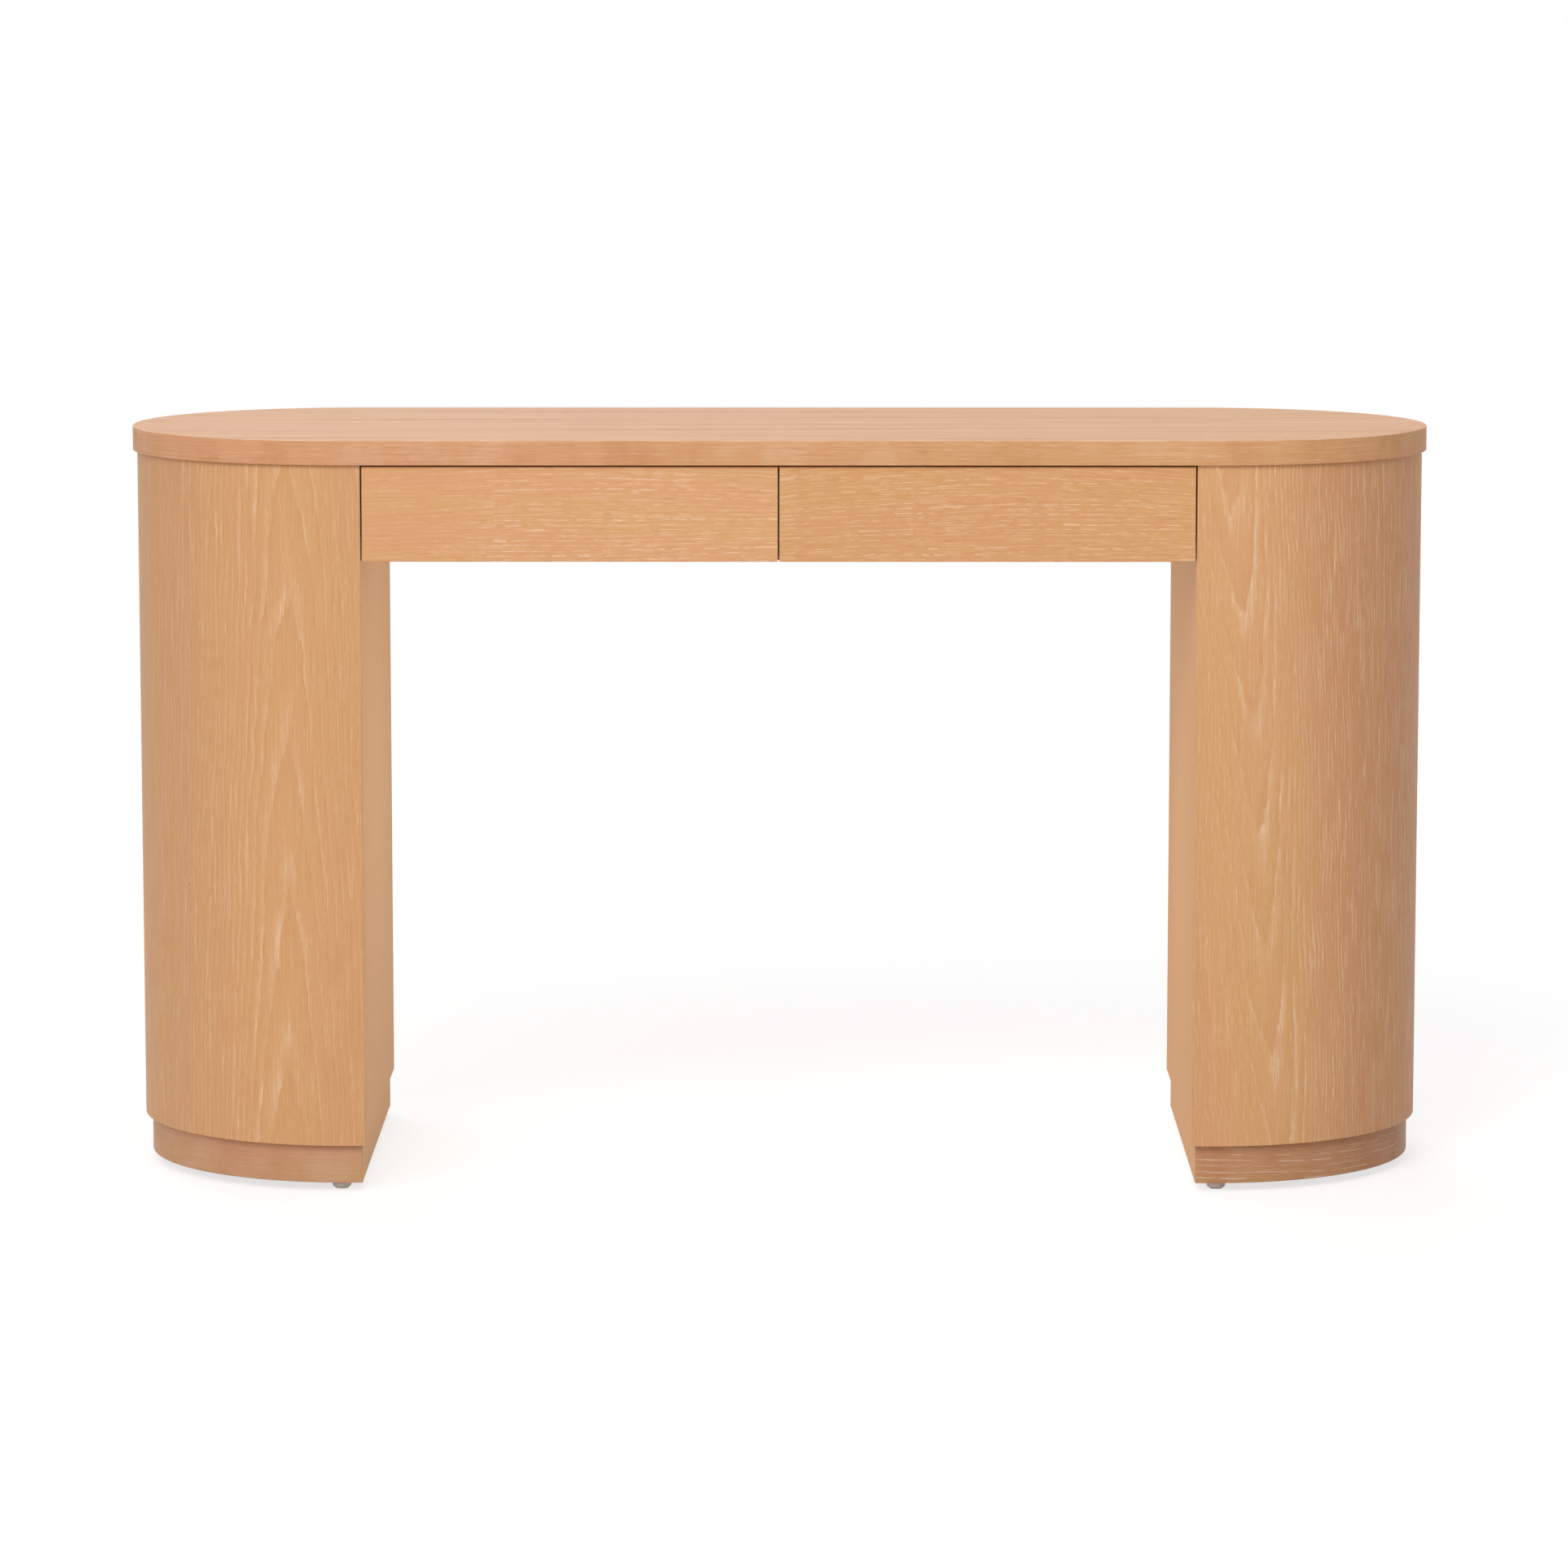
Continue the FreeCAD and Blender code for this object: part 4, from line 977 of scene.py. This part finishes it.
class WRITINGDESK_OT_studio(DeskOperator, bpy.types.Operator):
    """Make the floor, the room light, the lamps and the camera"""

    bl_idname = "writing_desk.studio"
    bl_label = "Studio"

    FLOOR_REACH = 14.0
    FLOOR_TONE = (0.8, 0.79, 0.78, 1.0)
    SHADOW_TONE = (0.34, 0.34, 0.34, 1.0)
    SHADOW_LIFT = 0.72
    ROOM_TONE = (1.0, 0.97, 0.965, 1.0)
    WHITE = (1.0, 1.0, 1.0, 1.0)
    KEY_TRAVEL = (0.45, 0.9, -0.6)
    BACK_TRAVEL = (0.3, -0.9, -0.9)
    LAMP_ANGLE = math.radians(40)
    BOX_PLACE = (0.0, -2.6, 2.6)
    BOX_TRAVEL = (0.0, 2.6, -2.1)
    BOX_ACROSS = 1.6
    KNEE_PLACE = (0.0, 0.0, 0.44)
    KNEE_ACROSS = 0.36
    SIGHT = 100.0

    def execute(self, context):
        studio = context.scene.studio
        self.add_floor()
        self.light_room(studio.room)
        self.add_far_lamp("key_lamp", self.KEY_TRAVEL, studio.key)
        self.add_far_lamp("back_lamp", self.BACK_TRAVEL, studio.back)
        self.add_near_lamp("box_lamp", self.BOX_PLACE, self.BOX_TRAVEL, self.BOX_ACROSS, studio.box)
        knee_wall = span("right_inner_panel")[0][X]
        for side in SIDES:
            travel = (-TOWARDS_KNEES[side] * knee_wall, 0, 0)
            self.add_near_lamp(f"{side}_knee_lamp", self.KNEE_PLACE, travel, self.KNEE_ACROSS, studio.knee)
        self.add_camera(studio)
        context.scene.view_settings.view_transform = "Standard"
        return {"FINISHED"}

    def add_floor(self):
        """A level square under the desk."""
        reach = self.FLOOR_REACH
        mesh = bpy.data.meshes.new("studio_floor")
        corners = [(-reach, -reach, 0), (reach, -reach, 0), (reach, reach, 0), (-reach, reach, 0)]
        mesh.from_pydata(corners, [], [(0, 1, 2, 3)])
        mesh.materials.append(self.floor_material())
        add_object("studio_floor", mesh)

    def floor_material(self):
        """Matt and pale for the light that it throws back. What looks at it sees it lifted to white, with
        the desk's shadow in it."""
        material, tree, shader = new_material("studio_floor")
        shader.inputs["Base Color"].default_value = self.FLOOR_TONE
        shader.inputs["Roughness"].default_value = 1.0
        shader.inputs["Specular IOR Level"].default_value = 0.0
        shade = tree.nodes.new("ShaderNodeBsdfDiffuse")
        shade.inputs["Color"].default_value = self.SHADOW_TONE
        glow = tree.nodes.new("ShaderNodeEmission")
        glow.inputs["Strength"].default_value = self.SHADOW_LIFT
        lifted = tree.nodes.new("ShaderNodeAddShader")
        tree.links.new(shade.outputs["BSDF"], lifted.inputs[0])
        tree.links.new(glow.outputs["Emission"], lifted.inputs[1])
        show(tree, "OUTPUT_MATERIAL", shader.outputs["BSDF"], lifted.outputs["Shader"])
        return material

    def light_room(self, strength):
        """A pale room that lights evenly from all round, and is white where it is looked at."""
        world = bpy.data.worlds.new("studio_room")
        bpy.context.scene.world = world
        world.use_nodes = True
        tree = world.node_tree
        glow = existing(tree, "BACKGROUND")
        glow.inputs["Color"].default_value = self.ROOM_TONE
        glow.inputs["Strength"].default_value = strength
        white = tree.nodes.new("ShaderNodeBackground")
        white.inputs["Color"].default_value = self.WHITE
        white.inputs["Strength"].default_value = 1.0
        show(tree, "OUTPUT_WORLD", glow.outputs["Background"], white.outputs["Background"])

    def add_far_lamp(self, name, travel, light):
        """A broad far lamp whose light travels one way. A face square to it gets that much light."""
        lamp = bpy.data.lights.new(name, "SUN")
        lamp.energy = light * math.pi
        lamp.angle = self.LAMP_ANGLE
        self.hang(name, lamp, (0, 0, 0), travel)

    def add_near_lamp(self, name, place, travel, width, light):
        """A round soft lamp near the desk, which the camera doesn't see. A disk of radius r and power P
        gives P over pi times (d squared plus r squared) on a face square to it at distance d, so where
        its light arrives, a face gets that much."""
        lamp = bpy.data.lights.new(name, "AREA")
        lamp.shape = "DISK"
        lamp.size = width
        lamp.energy = light * math.pi ** 2 * (Vector(travel).length_squared + (width / 2) ** 2)
        self.hang(name, lamp, place, travel).visible_camera = False

    def hang(self, name, lamp, place, travel):
        """Puts a lamp in its place, with its light going one way."""
        holder = add_object(name, lamp)
        holder.location = place
        holder.rotation_euler = Vector(travel).to_track_quat("-Z", "Y").to_euler()
        return holder

    def add_camera(self, studio):
        """A camera at the eye, tilted below the horizon and turned a little."""
        camera = bpy.data.cameras.new("camera")
        camera.lens = studio.lens
        camera.clip_end = self.SIGHT
        holder = add_object("camera", camera)
        holder.location = studio.eye
        holder.rotation_euler = (math.pi / 2 - studio.pitch, 0, studio.yaw)
        bpy.context.scene.camera = holder


def show(tree, output, kept, shown):
    """Gives a floor or a room two shaders: one kept for the light that falls from it on matt surfaces,
    and one shown to what looks at it."""
    path = tree.nodes.new("ShaderNodeLightPath")
    rays = [Signal(tree, path.outputs[f"Is {kind} Ray"]) for kind in ("Camera", "Glossy", "Transmission")]
    chosen = tree.nodes.new("ShaderNodeMixShader")
    (rays[0] + rays[1]).math("ADD", rays[2], clamp=True).feed(chosen.inputs["Fac"])
    tree.links.new(kept, chosen.inputs[1])
    tree.links.new(shown, chosen.inputs[2])
    tree.links.new(chosen.outputs["Shader"], existing(tree, output).inputs["Surface"])


class WRITINGDESK_PT_panel(bpy.types.Panel):
    """The desk's pieces and settings"""

    bl_label = "Oak Writing Desk"
    bl_idname = "WRITINGDESK_PT_panel"
    bl_space_type = "VIEW_3D"
    bl_region_type = "UI"
    bl_category = "Desk"

    def draw(self, context):
        scene = context.scene
        for operator in OPERATORS:
            self.layout.operator(operator.bl_idname)
        for settings in (scene.desk_sizes, scene.desk_finish, scene.studio):
            box = self.layout.box()
            for setting in settings.__annotations__:
                box.prop(settings, setting)


# In the order in which they are written
OPERATORS = tuple(DeskOperator.__subclasses__())
SETTINGS = {"desk_sizes": DeskSizes, "desk_finish": DeskFinish, "studio": StudioSettings}
CLASSES = (*SETTINGS.values(), *OPERATORS, WRITINGDESK_PT_panel)


def register():
    for kind in CLASSES:
        bpy.utils.register_class(kind)
    for name, settings in SETTINGS.items():
        setattr(bpy.types.Scene, name, bpy.props.PointerProperty(type=settings))


def unregister():
    for name in SETTINGS:
        delattr(bpy.types.Scene, name)
    for kind in reversed(CLASSES):
        bpy.utils.unregister_class(kind)


def main():
    register()
    for operator in OPERATORS:
        getattr(bpy.ops.writing_desk, operator.bl_idname.removeprefix("writing_desk."))()


if __name__ == "__main__":
    main()
